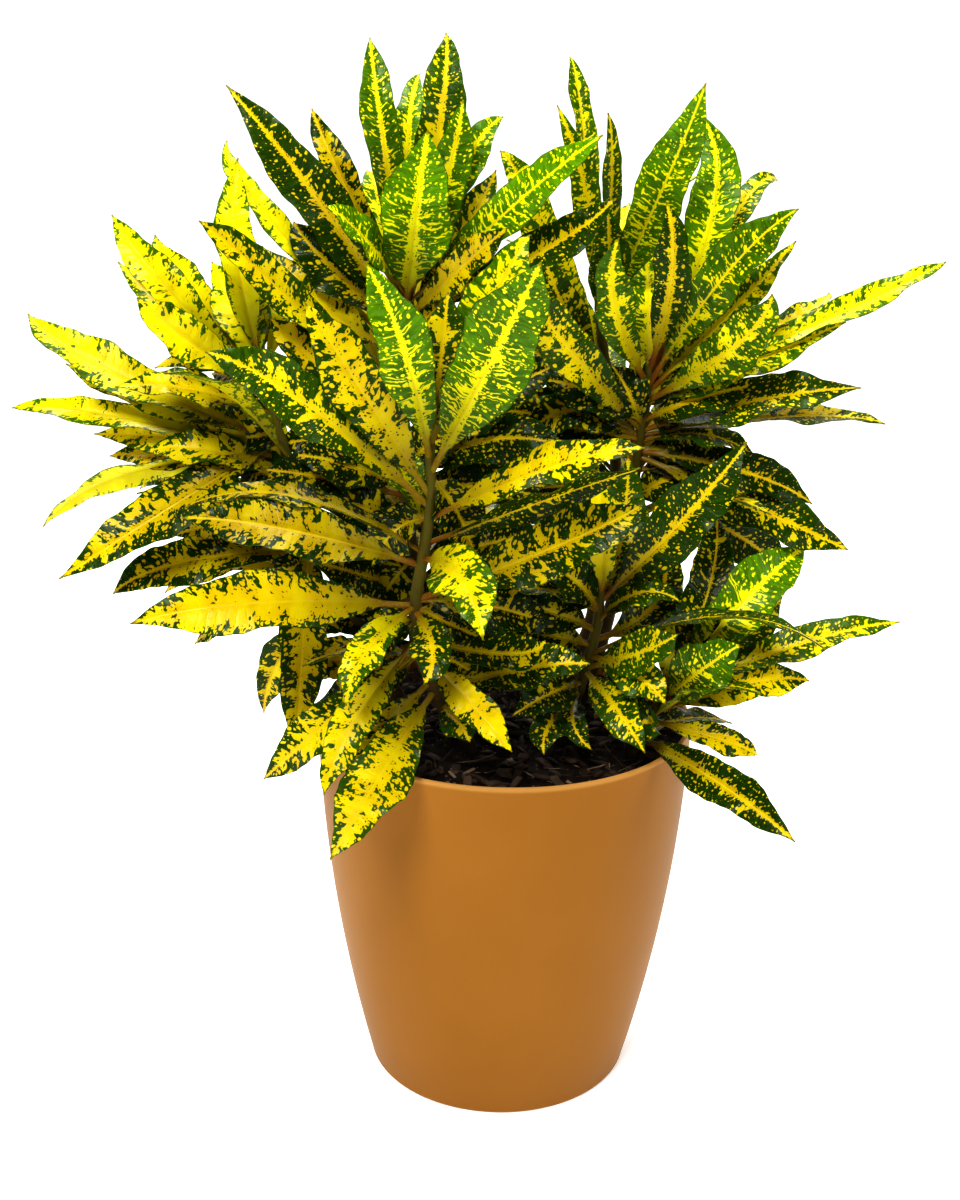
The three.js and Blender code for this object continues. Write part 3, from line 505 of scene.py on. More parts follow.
def compost(material):
    """The potting mix: a plug that fills the pot, its top a polar grid raised by soil_height."""
    angle = np.linspace(0, 2 * np.pi, COMPOST_SIDES, endpoint=False)[None, :]
    wall_z = np.array(PLUG_HEIGHTS)[:, None]
    clear = WALL + 2 * SOIL_GAP
    wall = np.repeat(pot_radius(wall_z) - clear, COMPOST_SIDES, axis=1)
    edge = pot_radius(PLUG_EDGE) - clear
    top = edge * np.linspace(1, PLUG_CENTRE, COMPOST_RINGS)[:, None]
    top = np.repeat(top, COMPOST_SIDES, axis=1)
    top_z = soil_height(top * np.sin(angle), -top * np.cos(angle))
    radius = np.concatenate([wall, top])
    height = np.concatenate([np.repeat(wall_z, COMPOST_SIDES, axis=1), top_z])
    high = float(soil_height(np.zeros(1), np.zeros(1))[0])
    points, quads, fans = turned_body(radius, height, angle, PLUG_HEIGHTS[0], high)
    return piece("compost", points, quads, fans, material, "soil", sharp=80)


def bark_chips(material):
    """Shreds of bark and fibre lying on the compost: each is a rounded box, the sphere's sines and
    cosines raised to a low power, stretched, bent, turned at random and set on soil_height."""
    draw = np.random.default_rng(CHIP_SEED)
    n, rows, columns = CHIPS, CHIP_ROWS, CHIP_COLUMNS
    down = np.linspace(CHIP_POLE, np.pi - CHIP_POLE, rows)[:, None]
    around = np.linspace(0, 2 * np.pi, columns, endpoint=False)[None, :]
    ball = np.broadcast_arrays(np.cos(down), np.sin(down), np.cos(around), np.sin(around))
    polar, ring, over, up = (np.sign(v) * np.abs(v) ** CHIP_SQUARENESS for v in ball)
    body = np.stack([polar, ring * over, ring * up], axis=-1)
    fibre = draw.random(n) < FIBRES
    sizes = [np.where(fibre, draw.uniform(*thin, n), draw.uniform(*broad, n)) / 2
             for thin, broad in ((FIBRE_LENGTH, CHIP_LENGTH), (FIBRE_WIDTH, CHIP_WIDTH),
                                 (FIBRE_THICKNESS, CHIP_THICKNESS))]
    length, _, thick = sizes
    size = np.stack(sizes, axis=-1)[:, None, None, :]
    jitter = 1 + CHIP_JITTER * (draw.random((n, rows, columns, 3)) - 0.5)
    shape = body[None] * size * jitter
    shape[..., 2] += CHIP_BEND * draw.uniform(-1, 1, n)[:, None, None] * shape[..., 0] ** 2
    heading, pitch = draw.uniform(0, 2 * np.pi, n), draw.normal(0, CHIP_PITCH, n)
    tilt = draw.normal(0, CHIP_TILT, n)
    x, y, z = shape[..., 0], shape[..., 1], shape[..., 2]
    tilt, pitch, heading = tilt[:, None, None], pitch[:, None, None], heading[:, None, None]
    y, z = y * np.cos(tilt) - z * np.sin(tilt), y * np.sin(tilt) + z * np.cos(tilt)
    x, z = x * np.cos(pitch) - z * np.sin(pitch), x * np.sin(pitch) + z * np.cos(pitch)
    x, y = x * np.cos(heading) - y * np.sin(heading), x * np.sin(heading) + y * np.cos(heading)
    reach = (pot_radius(SOIL_LEVEL) - WALL - CHIP_MARGIN - length) * np.sqrt(draw.random(n))
    bearing = draw.uniform(0, 2 * np.pi, n)
    cx, cy = reach * np.cos(bearing), reach * np.sin(bearing)
    centre = np.stack([cx, cy, soil_height(cx, cy) + thick * CHIP_SEAT], axis=-1)
    points = np.stack([x, y, z], axis=-1).reshape(n, -1, 3) + centre[:, None, :]
    ends = np.concatenate([points[:, :columns].mean(1, keepdims=True),
                           points[:, -columns:].mean(1, keepdims=True)], axis=1)
    points = np.concatenate([points, ends], axis=1)
    count = points.shape[1]
    start = (np.arange(n) * count)[:, None, None]
    quads, fans = (faces(rows, columns)[None, :, ::-1] + start for faces in (grid_faces, end_fans))
    pale = np.where(draw.random(n) < PALE_CHIPS, draw.uniform(*PALE_TONES, n),
                    draw.uniform(*CHIP_TONES, n))
    traits = np.stack([pale, draw.random(n), fibre * 1.0], axis=-1)
    traits = np.repeat(traits[:, None, :], count, axis=1)
    return piece("bark_chips", points.reshape(-1, 3), quads.reshape(-1, 4), fans.reshape(-1, 3),
                 material, "soil", {"chip": traits}, sharp=40)


# ---- stems ----
def stem_line(name, count):
    """Centripetal Catmull-Rom curve through the stem's plotted points and its buried foot, sampled
    evenly along its length. Neighbours mirrored through its two ends give the tangents there."""
    plotted = sight(*np.array(STEMS[name], float).T)
    foot = plotted[0].copy()
    foot[2] = SOIL_LEVEL - ROOT_DEPTH
    knots = np.concatenate([[foot], plotted])
    knots = np.concatenate([[2 * knots[0] - knots[1]], knots, [2 * knots[-1] - knots[-2]]])
    gaps = np.linalg.norm(np.diff(knots, axis=0), axis=-1) ** 0.5
    p0, p1, p2, p3 = knots[:-3], knots[1:-2], knots[2:-1], knots[3:]
    d0, d1, d2 = gaps[:-2, None], gaps[1:-1, None], gaps[2:, None]
    leave = ((p1 - p0) / d0 - (p2 - p0) / (d0 + d1) + (p2 - p1) / d1) * d1
    arrive = ((p2 - p1) / d1 - (p3 - p1) / (d1 + d2) + (p3 - p2) / d2) * d1
    share = np.linspace(0, len(p1), CURVE_STEPS)[:-1]
    span, s = share.astype(int), (share % 1)[:, None]
    cubic = 2 * p1 - 2 * p2 + leave + arrive
    square = -3 * p1 + 3 * p2 - 2 * leave - arrive
    dense = p1[span] + leave[span] * s + square[span] * s**2 + cubic[span] * s**3
    dense = np.concatenate([dense, knots[-2:-1]])
    reach = np.concatenate([[0], np.cumsum(np.linalg.norm(np.diff(dense, axis=0), axis=-1))])
    even = np.linspace(0, reach[-1], count)
    return np.stack([np.interp(even, reach, dense[:, k]) for k in range(3)], axis=-1)


def stem_tube(name, material):
    """The stem: rings of radius from foot to tip, swollen at the joints of fallen leaves, standing
    square to the curve, with the first way across taken from the x axis."""
    centre = stem_line(name, STEM_RINGS)
    tangent = unit(np.gradient(centre, axis=0))
    across = unit(np.array([1.0, 0, 0]) - tangent * tangent[:, :1])
    along = np.cross(tangent, across)
    share = np.linspace(0, 1, STEM_RINGS)[:, None]
    angle = np.linspace(0, 2 * np.pi, STEM_SIDES, endpoint=False)[None, :]
    reach = share * np.linalg.norm(np.diff(centre, axis=0), axis=-1).sum()
    joint = (reach / JOINT_SPACING + angle / (2 * np.pi)) % 1 - 0.5
    swell = JOINT_SWELL * np.exp(-joint**2 * JOINT_SHARPNESS)
    radius = (mix(STEM_FOOT, STEM_TIP, share) + swell - JOINT_WAIST)[..., None]
    points = centre[:, None, :] + radius * (across[:, None, :] * np.cos(angle)[..., None]
                                            + along[:, None, :] * np.sin(angle)[..., None])
    cap = centre[-1:] + tangent[-1:] * STEM_CAP
    points = np.concatenate([points.reshape(-1, 3), centre[:1], cap])
    place = np.stack(np.broadcast_arrays(reach, angle, share), axis=-1).reshape(-1, 3)
    place = np.concatenate([place, place[:1], place[-1:]])
    return piece("wood_" + name, points, grid_faces(STEM_RINGS, STEM_SIDES),
                 end_fans(STEM_RINGS, STEM_SIDES), material, name, {"bark": place})


# ---- leaves ----
def outline(t):
    """Half width of the blade as a share of its greatest: nothing over the stalk, then a lance, the
    fullness times the share of the blade times what is left of it to the power of the taper."""
    blade = np.maximum(0, (t - PETIOLE_SHARE) / (1 - PETIOLE_SHARE))
    return BLADE_FULLNESS * blade * (1 - blade) ** BLADE_TAPER


def leaf_plan(name, first):
    """Roots, middles, tips and characters of a stem's leaves: those plotted, and those at its back
    set round it by the golden angle. Everything is an array with one row for each leaf."""
    rows = np.array(LEAVES[name] + INNER[name], float)
    line = stem_line(name, LINE_STEPS)
    ray = line - EYE
    seen = PLATE[1] / 2 - FOCAL * (ray @ PLATE_UP) / (ray @ LOOK)
    root = line[np.abs(seen[None, :] - rows[:, :1]).argmin(axis=1)]
    lean = np.radians(rows[:, 7])
    tip = sight(rows[:, 1], rows[:, 2], rows[:, 3])
    middle = sight(rows[:, 4], rows[:, 5], (rows[:, 3] - root[:, 1]) / 2 + BOW * np.cos(lean))
    shown = len(LEAVES[name])
    index = np.concatenate([first + np.arange(shown), INNER_FIRST + np.arange(len(rows) - shown)])
    draw = np.random.default_rng(LEAF_SEED + first)

    count, low, high, length, width, bearing = GROWN[name]
    k = np.arange(count)
    share = k / (count - 1)
    turn = (k * GOLDEN_TURN + 0.5) % 1
    azimuth = math.radians(bearing) + (turn - 0.5) * GROWN_ARC
    rise = mix(*GROWN_RISE, share)
    length = length * (1 - GROWN_SHORTENING * np.abs(2 * share - 1))
    outward = np.stack([np.cos(azimuth), np.sin(azimuth), 0 * azimuth], axis=-1)
    steps = np.linspace(0, 1, LINE_STEPS)
    back_root = np.stack([np.interp(mix(low, high, share), steps, line[:, c]) for c in range(3)],
                         axis=-1)
    back_tip = back_root + outward * (length * np.cos(rise))[:, None]
    back_tip[:, 2] += length * np.sin(rise) - GROWN_DROOP * length
    back_middle = (back_root + back_tip) / 2
    back_middle[:, 2] += GROWN_ARCH * length
    back_traits = np.stack([draw.uniform(*BACK_GOLD, count), mix(*BACK_FRESH, share),
                            draw.uniform(*BACK_BAND, count)], axis=-1)
    return {
        "root": np.concatenate([root, back_root]),
        "middle": np.concatenate([middle, back_middle]),
        "tip": np.concatenate([tip, back_tip]),
        "width": np.concatenate([rows[:, 6], np.full(count, float(width))]),
        "lean": np.concatenate([lean, np.zeros(count)]),
        "phase": np.concatenate([(index * GOLDEN_TURN) % 1, turn]),
        "plotted": np.concatenate([np.ones(len(rows)), np.zeros(count)]),
        "traits": np.concatenate([rows[:, 8:11] / 100, back_traits]),
        "seed": draw.random(len(rows) + count),
    }


def leaf_blades(name, first, material):
    """Every leaf of a stem as one piece. The midrib is a parabola from root through middle to tip.
    Across it runs a section: offset u times the half width, raised by a fold towards the margin, a
    ripple that grows with the square of u, a finer curl that grows with its cube, and soft pillows
    between the side veins. The margin is the lance outline times one plus a long and a short wave.
    The upper and lower faces stand half a thickness off that surface, thinner at the margin, with a
    groove over the midrib and a keel under it, and join round the margin. Over the stalk the
    section is an ellipse."""
    plan = leaf_plan(name, first)
    leaves = len(plan["width"])
    t = np.linspace(0, 1, LEAF_ROWS)[None, :, None]
    v = np.linspace(-1, 1, LEAF_COLUMNS)
    u = (np.sign(v) * np.abs(v) ** COLUMN_GATHER)[None, None, :]
    root, middle, tip = (plan[key][:, None, :] for key in ("root", "middle", "tip"))
    control = 2 * middle - (root + tip) / 2
    spine = (1 - t) ** 2 * root + 2 * t * (1 - t) * control + t**2 * tip
    tangent = unit(2 * (1 - t) * (control - root) + 2 * t * (tip - control))
    to_eye = unit(EYE - spine)
    toward = np.where(plan["plotted"][:, None, None] > 0, to_eye, np.array([0.0, 0, 1.0]))
    facing = unit(toward - tangent * dot(toward, tangent))
    sideways = unit(np.cross(facing, tangent))
    flip = sideways @ PLATE_UP + SIDE_SHARE * (sideways @ PLATE_RIGHT)
    sideways = np.where(flip[..., None] < 0, -sideways, sideways)
    lean = plan["lean"][:, None, None]
    face = facing * np.cos(lean) + sideways * np.sin(lean)
    across = unit(np.cross(face, tangent))

    steps = np.linalg.norm(np.diff(spine, axis=1), axis=-1)
    along = np.concatenate([np.zeros((leaves, 1)), np.cumsum(steps, axis=1)], axis=1)[..., None]
    half = plan["width"][:, None, None] / 2 * outline(t)
    phase, seed = plan["phase"][:, None, None], plan["seed"][:, None, None]
    side = np.where(u < 0, -1.0, 1.0)
    wave = 2 * np.pi * (WAVES * t + phase + WAVE_SHIFT * side)
    small = np.sin(2 * np.pi * (NICK_WAVES[0] * t + 3 * seed + NICK_SHIFT * side))
    small = small * np.sin(2 * np.pi * (NICK_WAVES[1] * t + seed))
    least = np.where(t < 0.5, PETIOLE_WIDTH / 2, TIP_WIDTH / 2)
    out = np.maximum(least, half * (1 + SCALLOP * np.sin(wave) + NICK * small))
    lateral = u * out
    reach = np.abs(u)
    veins = np.cos(2 * np.pi * (along - np.abs(lateral) * VEIN_SLANT) / VEIN_SPACING)
    pillow = PILLOW * veins * reach * (1 - reach) * 4 * np.minimum(1, half / PILLOW_FADE)
    fold = FOLD * (1 - UNFOLDING * t) * reach**FOLD_POWER
    ripple = RIPPLE * np.sin(RIPPLE_PACE * wave) * reach**2
    curl = CURL * np.sin(2 * np.pi * (CURL_WAVES * t + 2 * seed + CURL_SHIFT * side)) * reach**3
    rise = half * (fold + ripple + curl) + pillow
    stalk = np.clip(1 - np.maximum(0, t - PETIOLE_SHARE) / PETIOLE_FADE, 0, 1)
    blade = BLADE_THICKNESS / 2 * (1 - MARGIN_THINNING * reach**3)
    rod = PETIOLE_THICKNESS / 2 * np.sqrt(np.maximum(STALK_LEAST, 1 - reach**2))
    thick = mix(blade, rod, stalk)
    rib = np.minimum(1, half / RIB_FADE) * (1 - RIB_THINNING * t)
    groove = GROOVE * rib * np.exp(-(lateral / GROOVE_WIDTH) ** 2)
    keel = KEEL * rib * np.exp(-(lateral / KEEL_WIDTH) ** 2)

    base = spine[:, :, None, :] + across[:, :, None, :] * lateral[..., None]
    normal = face[:, :, None, :]
    upper = base + normal * (rise + thick - groove)[..., None]
    lower = base + normal * (rise - thick - keel)[..., None]
    points = np.stack([upper, lower], axis=1).reshape(leaves, -1, 3)

    place = np.stack(np.broadcast_arrays(lateral, along, out), axis=-1)
    place = np.stack([place, place], axis=1)
    band = plan["traits"][:, 2][:, None, None]
    section = np.stack(np.broadcast_arrays(t, np.ones(lateral.shape), band), axis=-1)
    section = np.stack([section, section * [1, 0, 1]], axis=1)
    traits = np.stack([plan["traits"][:, 0], plan["traits"][:, 1], plan["seed"]], axis=-1)
    traits = np.broadcast_to(traits[:, None, None, None, :], section.shape)
    marks = {"place": place, "section": section, "traits": traits}

    r, c = np.meshgrid(np.arange(LEAF_ROWS - 1), np.arange(LEAF_COLUMNS - 1), indexing="ij")
    a = (r * LEAF_COLUMNS + c).ravel()
    over = LEAF_ROWS * LEAF_COLUMNS
    top = np.stack([a, a + LEAF_COLUMNS, a + LEAF_COLUMNS + 1, a + 1], axis=-1)
    left = np.arange(LEAF_ROWS - 1) * LEAF_COLUMNS
    right = left + LEAF_COLUMNS - 1
    start = np.arange(LEAF_COLUMNS - 1)
    end = start + (LEAF_ROWS - 1) * LEAF_COLUMNS

    def strip(edge, step):
        return np.stack([edge, edge + step, edge + step + over, edge + over], axis=-1)

    quads = np.concatenate([top, top[:, ::-1] + over, strip(left, LEAF_COLUMNS)[:, ::-1],
                            strip(right, LEAF_COLUMNS), strip(start, 1), strip(end, 1)[:, ::-1]])
    quads = (quads[None] + (np.arange(leaves) * 2 * over)[:, None, None]).reshape(-1, 4)
    return piece("leaves_" + name, points.reshape(-1, 3), quads, np.zeros((0, 3), int), material,
                 name, marks, sharp=58)


# ---- building shaders ----
class Shader:
    """A few short words for placing nodes in one tree and joining them up."""

    def __init__(self, tree):
        self.tree = tree

    def node(self, kind, inputs=None, **settings):
        made = self.tree.nodes.new(kind)
        for key, value in settings.items():
            setattr(made, key, value)
        self.join(made, inputs or {})
        return made

    def join(self, node, inputs):
        """Links each input that is given a socket, and sets each that is given a value."""
        for key, value in inputs.items():
            if isinstance(value, bpy.types.NodeSocket):
                self.tree.links.new(value, node.inputs[key])
            else:
                node.inputs[key].default_value = value

    def sum(self, operation, a, b=0.0, c=0.0, clamp=False):
        made = self.node("ShaderNodeMath", {0: a, 1: b, 2: c}, operation=operation, use_clamp=clamp)
        return made.outputs[0]

    def times(self, a, b):
        return self.sum("MULTIPLY", a, b)

    def plus(self, a, b):
        return self.sum("ADD", a, b)

    def less(self, a, b):
        return self.sum("SUBTRACT", a, b)

    def larger(self, a, b):
        return self.sum("MAXIMUM", a, b)

    def fit(self, value, low, high, out_low=0.0, out_high=1.0, smooth=True):
        made = self.node("ShaderNodeMapRange", {"Value": value, "From Min": low, "From Max": high,
                                                "To Min": out_low, "To Max": out_high},
                         interpolation_type="SMOOTHSTEP" if smooth else "LINEAR")
        return made.outputs["Result"]

    def blend(self, factor, a, b):
        return self.node("ShaderNodeMix", {0: factor, 6: a, 7: b}, data_type="RGBA").outputs[2]

    def between(self, factor, a, b):
        return self.node("ShaderNodeMix", {0: factor, 2: a, 3: b}, data_type="FLOAT").outputs[0]

    def vector(self, x, y, z):
        return self.node("ShaderNodeCombineXYZ", {0: x, 1: y, 2: z}).outputs[0]

    def noise(self, vector, scale, detail, rough=0.55):
        made = self.node("ShaderNodeTexNoise", {"Vector": vector, "Scale": scale, "Detail": detail,
                                                "Roughness": rough})
        return made.outputs["Fac"]

    def cells(self, vector, scale):
        made = self.node("ShaderNodeTexVoronoi", {"Vector": vector, "Scale": scale},
                         voronoi_dimensions="2D")
        return made.outputs["Distance"], made.outputs["Color"]

    def attribute(self, name):
        return self.node("ShaderNodeAttribute", attribute_name=name).outputs["Vector"]

    def place(self):
        return self.node("ShaderNodeTexCoord").outputs["Object"]

    def split(self, vector):
        return tuple(self.node("ShaderNodeSeparateXYZ", {0: vector}).outputs)

    def use(self, tree, inputs):
        return self.node("ShaderNodeGroup", inputs, node_tree=tree).outputs


def group(name, inputs, outputs, fill):
    """A node group with those sockets, inputs as {name: (kind, default)} and outputs as
    {name: kind}; fill(shader, ins) makes its nodes and gives its outputs by name."""
    tree = bpy.data.node_groups.new(name, "ShaderNodeTree")
    for label, (kind, default) in inputs.items():
        socket = tree.interface.new_socket(label, in_out="INPUT", socket_type=kind)
        socket.default_value = default
    for label, kind in outputs.items():
        tree.interface.new_socket(label, in_out="OUTPUT", socket_type=kind)
    ins = tree.nodes.new("NodeGroupInput")
    outs = tree.nodes.new("NodeGroupOutput")
    for label, socket in fill(Shader(tree), ins.outputs).items():
        tree.links.new(socket, outs.inputs[label])
    return tree


def new_material(name):
    """An empty material, the Shader of its tree and its Principled surface."""
    made = bpy.data.materials.new(name)
    made.use_nodes = True
    made.node_tree.nodes.clear()
    shader = Shader(made.node_tree)
    surface = shader.node("ShaderNodeBsdfPrincipled")
    shader.node("ShaderNodeOutputMaterial", {"Surface": surface.outputs[0]})
    return made, shader, surface


def dress(s, surface, colour, rough, specular, height, strength, distance):
    """Gives a surface its colour, roughness and gloss, and the height as relief of that strength
    over that distance in metres."""
    bump = s.node("ShaderNodeBump", {"Strength": strength, "Distance": distance, "Height": height})
    s.join(surface, {"Base Color": colour, "Roughness": rough, "Normal": bump.outputs[0],
                     "Specular IOR Level": specular})


# ---- effects that several finishes share ----
def mottle_group():
    """Slow patches and fine grain of tone over a surface, and the grain as a height."""
    def fill(s, ins):
        patch = s.noise(ins["Vector"], ins["Patch Scale"], 3.0, 0.5)
        grain = s.noise(ins["Vector"], ins["Grain Scale"], 2.0, 0.6)
        return {"Tone": s.between(ins["Grain Share"], patch, grain), "Grain": grain}
    return group("mottle", {"Vector": ("NodeSocketVector", (0, 0, 0)),
                            "Patch Scale": ("NodeSocketFloat", 12.0),
                            "Grain Scale": ("NodeSocketFloat", 400.0),
                            "Grain Share": ("NodeSocketFloat", 0.3)},
                 {"Tone": "NodeSocketFloat", "Grain": "NodeSocketFloat"}, fill)


def variegation_group():
    """Where a croton leaf is gold and where it is green. A score says how golden a place is: it
    rises with the leaf's share of gold, falls from the midrib to the margin and at the tip, and one
    half of the leaf scores better than the other. Noise stretched along the side veins is gold
    where it passes a limit set by the score, so solid gold breaks up into dark blotches towards the
    margin. Over it lie a band along the midrib, with a fine comb and longer offshoots that follow
    the side veins, round flecks of gold in the green, specks of green in the gold, and dashes of
    gold on young leaves. A dark line follows the margin and takes in the tip."""
    def fill(s, ins):
        lateral, along, half = s.split(ins["Place"])
        t, _, band = s.split(ins["Section"])
        tone, young, seed = s.split(ins["Traits"])
        out = s.sum("ABSOLUTE", lateral)
        halves = s.sum("DIVIDE", lateral, s.larger(half, 0.3))
        edge = s.sum("ABSOLUTE", halves)
        far = s.times(seed, LEAF_APART)
        flat = s.vector(lateral, along, far)
        slow = s.less(s.noise(flat, SLOW_SCALE, 2.0), 0.5)
        vein = s.sum("MULTIPLY_ADD", out, -LEAN_BACK, s.plus(along, s.times(slow, WANDER)))

        def streaks(narrow, shift, scale, detail, rough=0.55):
            where = s.vector(s.times(lateral, narrow), vein, s.plus(far, shift))
            return s.noise(where, scale, detail, rough)

        # the score, and the blotches that it lets through
        broad = s.less(streaks(0.5, 91.0, SLOW_SCALE, 1.0), 0.5)
        score = s.plus(s.fit(tone, 0.15, 0.50, -2.5, 0.4, smooth=False),
                       s.fit(tone, 0.50, 1.00, 0.0, 2.9, smooth=False))
        slope = s.fit(tone, 0.40, 0.90, 1.2, 3.5, smooth=False)
        score = s.less(score, s.times(slope, s.sum("POWER", edge, 2.0)))
        score = s.sum("MULTIPLY_ADD", broad, SLOW_GAIN, score)
        score = s.plus(score, s.times(halves, s.times(s.less(seed, 0.5), HALVES_DIFFER)))
        score = s.less(score, s.fit(t, 0.70, 1.0, 0.0, TIP_LOSS))
        grow = s.fit(tone, 0.35, 0.75, 0.90, 1.50, smooth=False)
        narrowed = s.times(s.times(lateral, grow), CLUMP_NARROW)
        clump = s.noise(s.vector(narrowed, s.times(vein, grow), far), CLUMP_SCALE, 1.0, 0.40)
        over = s.less(clump, s.sum("MULTIPLY_ADD", score, CLUMP_GAIN, 0.5))
        gold = s.fit(over, -SHARPNESS, SHARPNESS)

        # the band along the midrib
        comb = streaks(0.15, 17.0, COMB_SCALE, 1.0)
        shoots = s.fit(streaks(0.30, 53.0, SHOOT_SCALE, 2.0, 0.6), 0.55, 0.72, 0.0, SHOOT_LENGTH)
        stripe = s.times(s.between(band, *BAND_WIDTH), s.fit(t, 0.05, 1.0, 1.0, 0.22, smooth=False))
        stripe = s.sum("MULTIPLY_ADD", s.less(comb, 0.5), COMB_DEPTH, stripe)
        stripe = s.plus(stripe, s.times(shoots, s.fit(t, 0.5, 1.0, 1.0, 0.3)))
        gold = s.larger(gold, s.fit(s.less(stripe, out), -0.15, 0.15))

        # round spots: the rare share of the cells has none, and the luckiest cell the largest
        def dots(narrow, scale, shift, size, rare):
            near, shade = s.cells(s.vector(s.plus(s.times(lateral, narrow), far),
                                           s.plus(vein, s.plus(far, shift)), 0.0), scale)
            luck = s.fit(s.split(shade)[0], rare, 1.0, 0.0, 1.0)
            wobble = s.sum("MULTIPLY_ADD", s.less(clump, 0.5), 0.20, near)
            return s.fit(s.less(s.times(size, luck), wobble), -0.04, 0.04)

        specks = dots(0.85, 0.55, 77.0, s.fit(score, 0.2, 2.0, 0.36, 0.0), rare=0.30)
        flecks = dots(0.90, 0.30, 13.0, s.fit(score, -3.5, 0.0, 0.22, 0.34), rare=0.18)
        dust = dots(0.80, 0.46, 57.0, s.times(s.fit(young, 0.1, 0.5, 0.75, 1.0),
                                              s.fit(score, -3.5, 0.0, 0.24, 0.36)), rare=0.30)
        dash = streaks(0.16, 37.0, DASH_SCALE, 1.0, 0.5)
        reach = s.times(s.fit(young, 0.15, 0.60, 0.25, 1.0), s.fit(t, 0.35, 0.85, 1.0, 0.25))
        reach = s.times(reach, s.fit(edge, 0.5, 1.0, 1.0, 0.6))
        limit = s.fit(reach, 0.0, 1.0, 0.82, 0.575, smooth=False)
        dashes = s.fit(s.less(dash, limit), -SHARPNESS, SHARPNESS)
        rib = s.fit(out, 0.35, 0.75, 1.0, 0.0)
        gold = s.times(gold, s.less(1.0, specks))
        for more in (flecks, dust, dashes, rib):
            gold = s.larger(gold, more)
        line = s.times(s.fit(edge, 0.95, 0.985), s.fit(t, 0.1, 0.16))
        line = s.larger(line, s.fit(t, 0.955, 0.985))

        # relief: veins and the fine leather between them
        ribs = s.sum("ABSOLUTE", s.sum("SINE", s.times(vein, RIB_PACE)))
        ribs = s.times(s.sum("POWER", ribs, 0.35), s.fit(out, 0.5, 3.0))
        leather = s.noise(flat, LEATHER_SCALE, 2.0, 0.5)
        height = s.plus(s.times(ribs, RIB_SHARE), s.times(leather, LEATHER_SHARE))
        return {"Gold": gold, "Margin Line": line, "Crease": rib, "Halo": s.fit(over, -0.16, 0.0),
                "Height": height, "Patch": s.plus(broad, 0.5), "Dapple": dash}
    vectors = ("Place", "Section", "Traits")
    values = ("Gold", "Margin Line", "Crease", "Halo", "Height", "Patch", "Dapple")
    return group("variegation", {key: ("NodeSocketVector", (0, 0, 0)) for key in vectors},
                 {key: "NodeSocketFloat" for key in values}, fill)


# ---- finishes ----
def start_finish(name, mottle, patch_scale, grain_scale, grain_share):
    """A new material, its Shader and surface, and the tone and grain of the mottle over it."""
    made, s, surface = new_material(name)
    drift = s.use(mottle, {"Vector": s.place(), "Patch Scale": patch_scale,
                           "Grain Scale": grain_scale, "Grain Share": grain_share})
    return made, s, surface, drift["Tone"], drift["Grain"]


def leaf_finish(mottle, variegation):
    """Green and gold by the variegation, each brighter on young leaves; a dark line at the margin,
    painted shade towards the stem, a woody stalk, a paler underside and a little light let through."""
    made, s, surface, drift, _ = start_finish("variegated_leaf", mottle, 28.0, 900.0, 0.25)
    place, section, traits = (s.attribute(key) for key in ("place", "section", "traits"))
    t, upper, _ = s.split(section)
    _, young, _ = s.split(traits)
    pattern = s.use(variegation, {"Place": place, "Section": section, "Traits": traits})

    bright = s.plus(young, s.times(pattern["Halo"], 0.10))
    dapple = s.times(young, s.fit(pattern["Dapple"], 0.35, 0.60, -0.30, 0.25, smooth=False))
    green = s.blend(s.sum("ADD", bright, dapple, clamp=True), DARK_GREEN, FRESH_GREEN)
    green = s.blend(s.fit(drift, 0.3, 0.7, 0.0, 0.35), green, DULL_GREEN)
    gold = s.blend(s.fit(young, 0.0, 0.12), OCHRE, GOLDEN)
    patch = s.times(s.fit(pattern["Patch"], 0.3, 0.7), 0.20)
    gold = s.blend(s.sum("MULTIPLY_ADD", young, 0.90, patch, clamp=True), gold, LEMON)
    gold = s.blend(s.times(pattern["Crease"], 0.45), gold, MIDRIB)
    gold = s.blend(s.fit(drift, 0.35, 0.75, 0.0, 0.25), gold, AMBER)
    colour = s.blend(pattern["Gold"], green, gold)
    colour = s.blend(s.times(pattern["Margin Line"], 0.75), colour, MARGIN_GREEN)
    # painted shade: each leaf's colour darkens towards its stalk, where the bases lie in the
    # plant's shadow
    colour = s.blend(s.fit(t, 0.08, 0.50, 0.62, 0.0), colour, PAINTED_BASE_SHADE)
    wood = s.blend(s.fit(drift, 0.35, 0.65), RED_STALK, OLIVE_STALK)
    colour = s.blend(s.fit(t, 0.05, 0.17, 1.0, 0.0), colour, wood)
    colour = s.blend(upper, s.blend(0.40, colour, UNDERLEAF), colour)
    rough = s.plus(s.between(upper, 0.50, 0.20), s.times(drift, 0.14))
    dress(s, surface, colour, rough, 0.13, pattern["Height"], strength=0.5, distance=0.0006)
    s.join(surface, {"Subsurface Weight": 0.45, "Subsurface Radius": (1.0, 1.0, 0.2),
                     "Subsurface Scale": 0.002})
    return made


def stem_finish(mottle):
    """Brown wood that turns olive towards the tip, ringed by the scars of fallen leaves."""
    made, s, surface, drift, _ = start_finish("green_wood", mottle, 90.0, 900.0, 0.4)
    reach, angle, share = s.split(s.attribute("bark"))
    brown = s.blend(drift, DARK_BROWN, LIGHT_BROWN)
    olive = s.blend(drift, DARK_OLIVE, LIGHT_OLIVE)
    colour = s.blend(s.fit(share, 0.35, 0.8), brown, olive)
    rings = s.plus(s.times(reach, SCAR_TURNS[0]), s.times(angle, SCAR_TURNS[1]))
    scar = s.fit(s.sum("PINGPONG", rings, 0.5), 0.42, 0.48)
    colour = s.blend(s.times(scar, 0.5), colour, STEM_SCAR)
    rough = s.plus(0.45, s.times(drift, 0.3))
    dress(s, surface, colour, rough, 0.15, drift, strength=0.6, distance=0.0008)
    return made


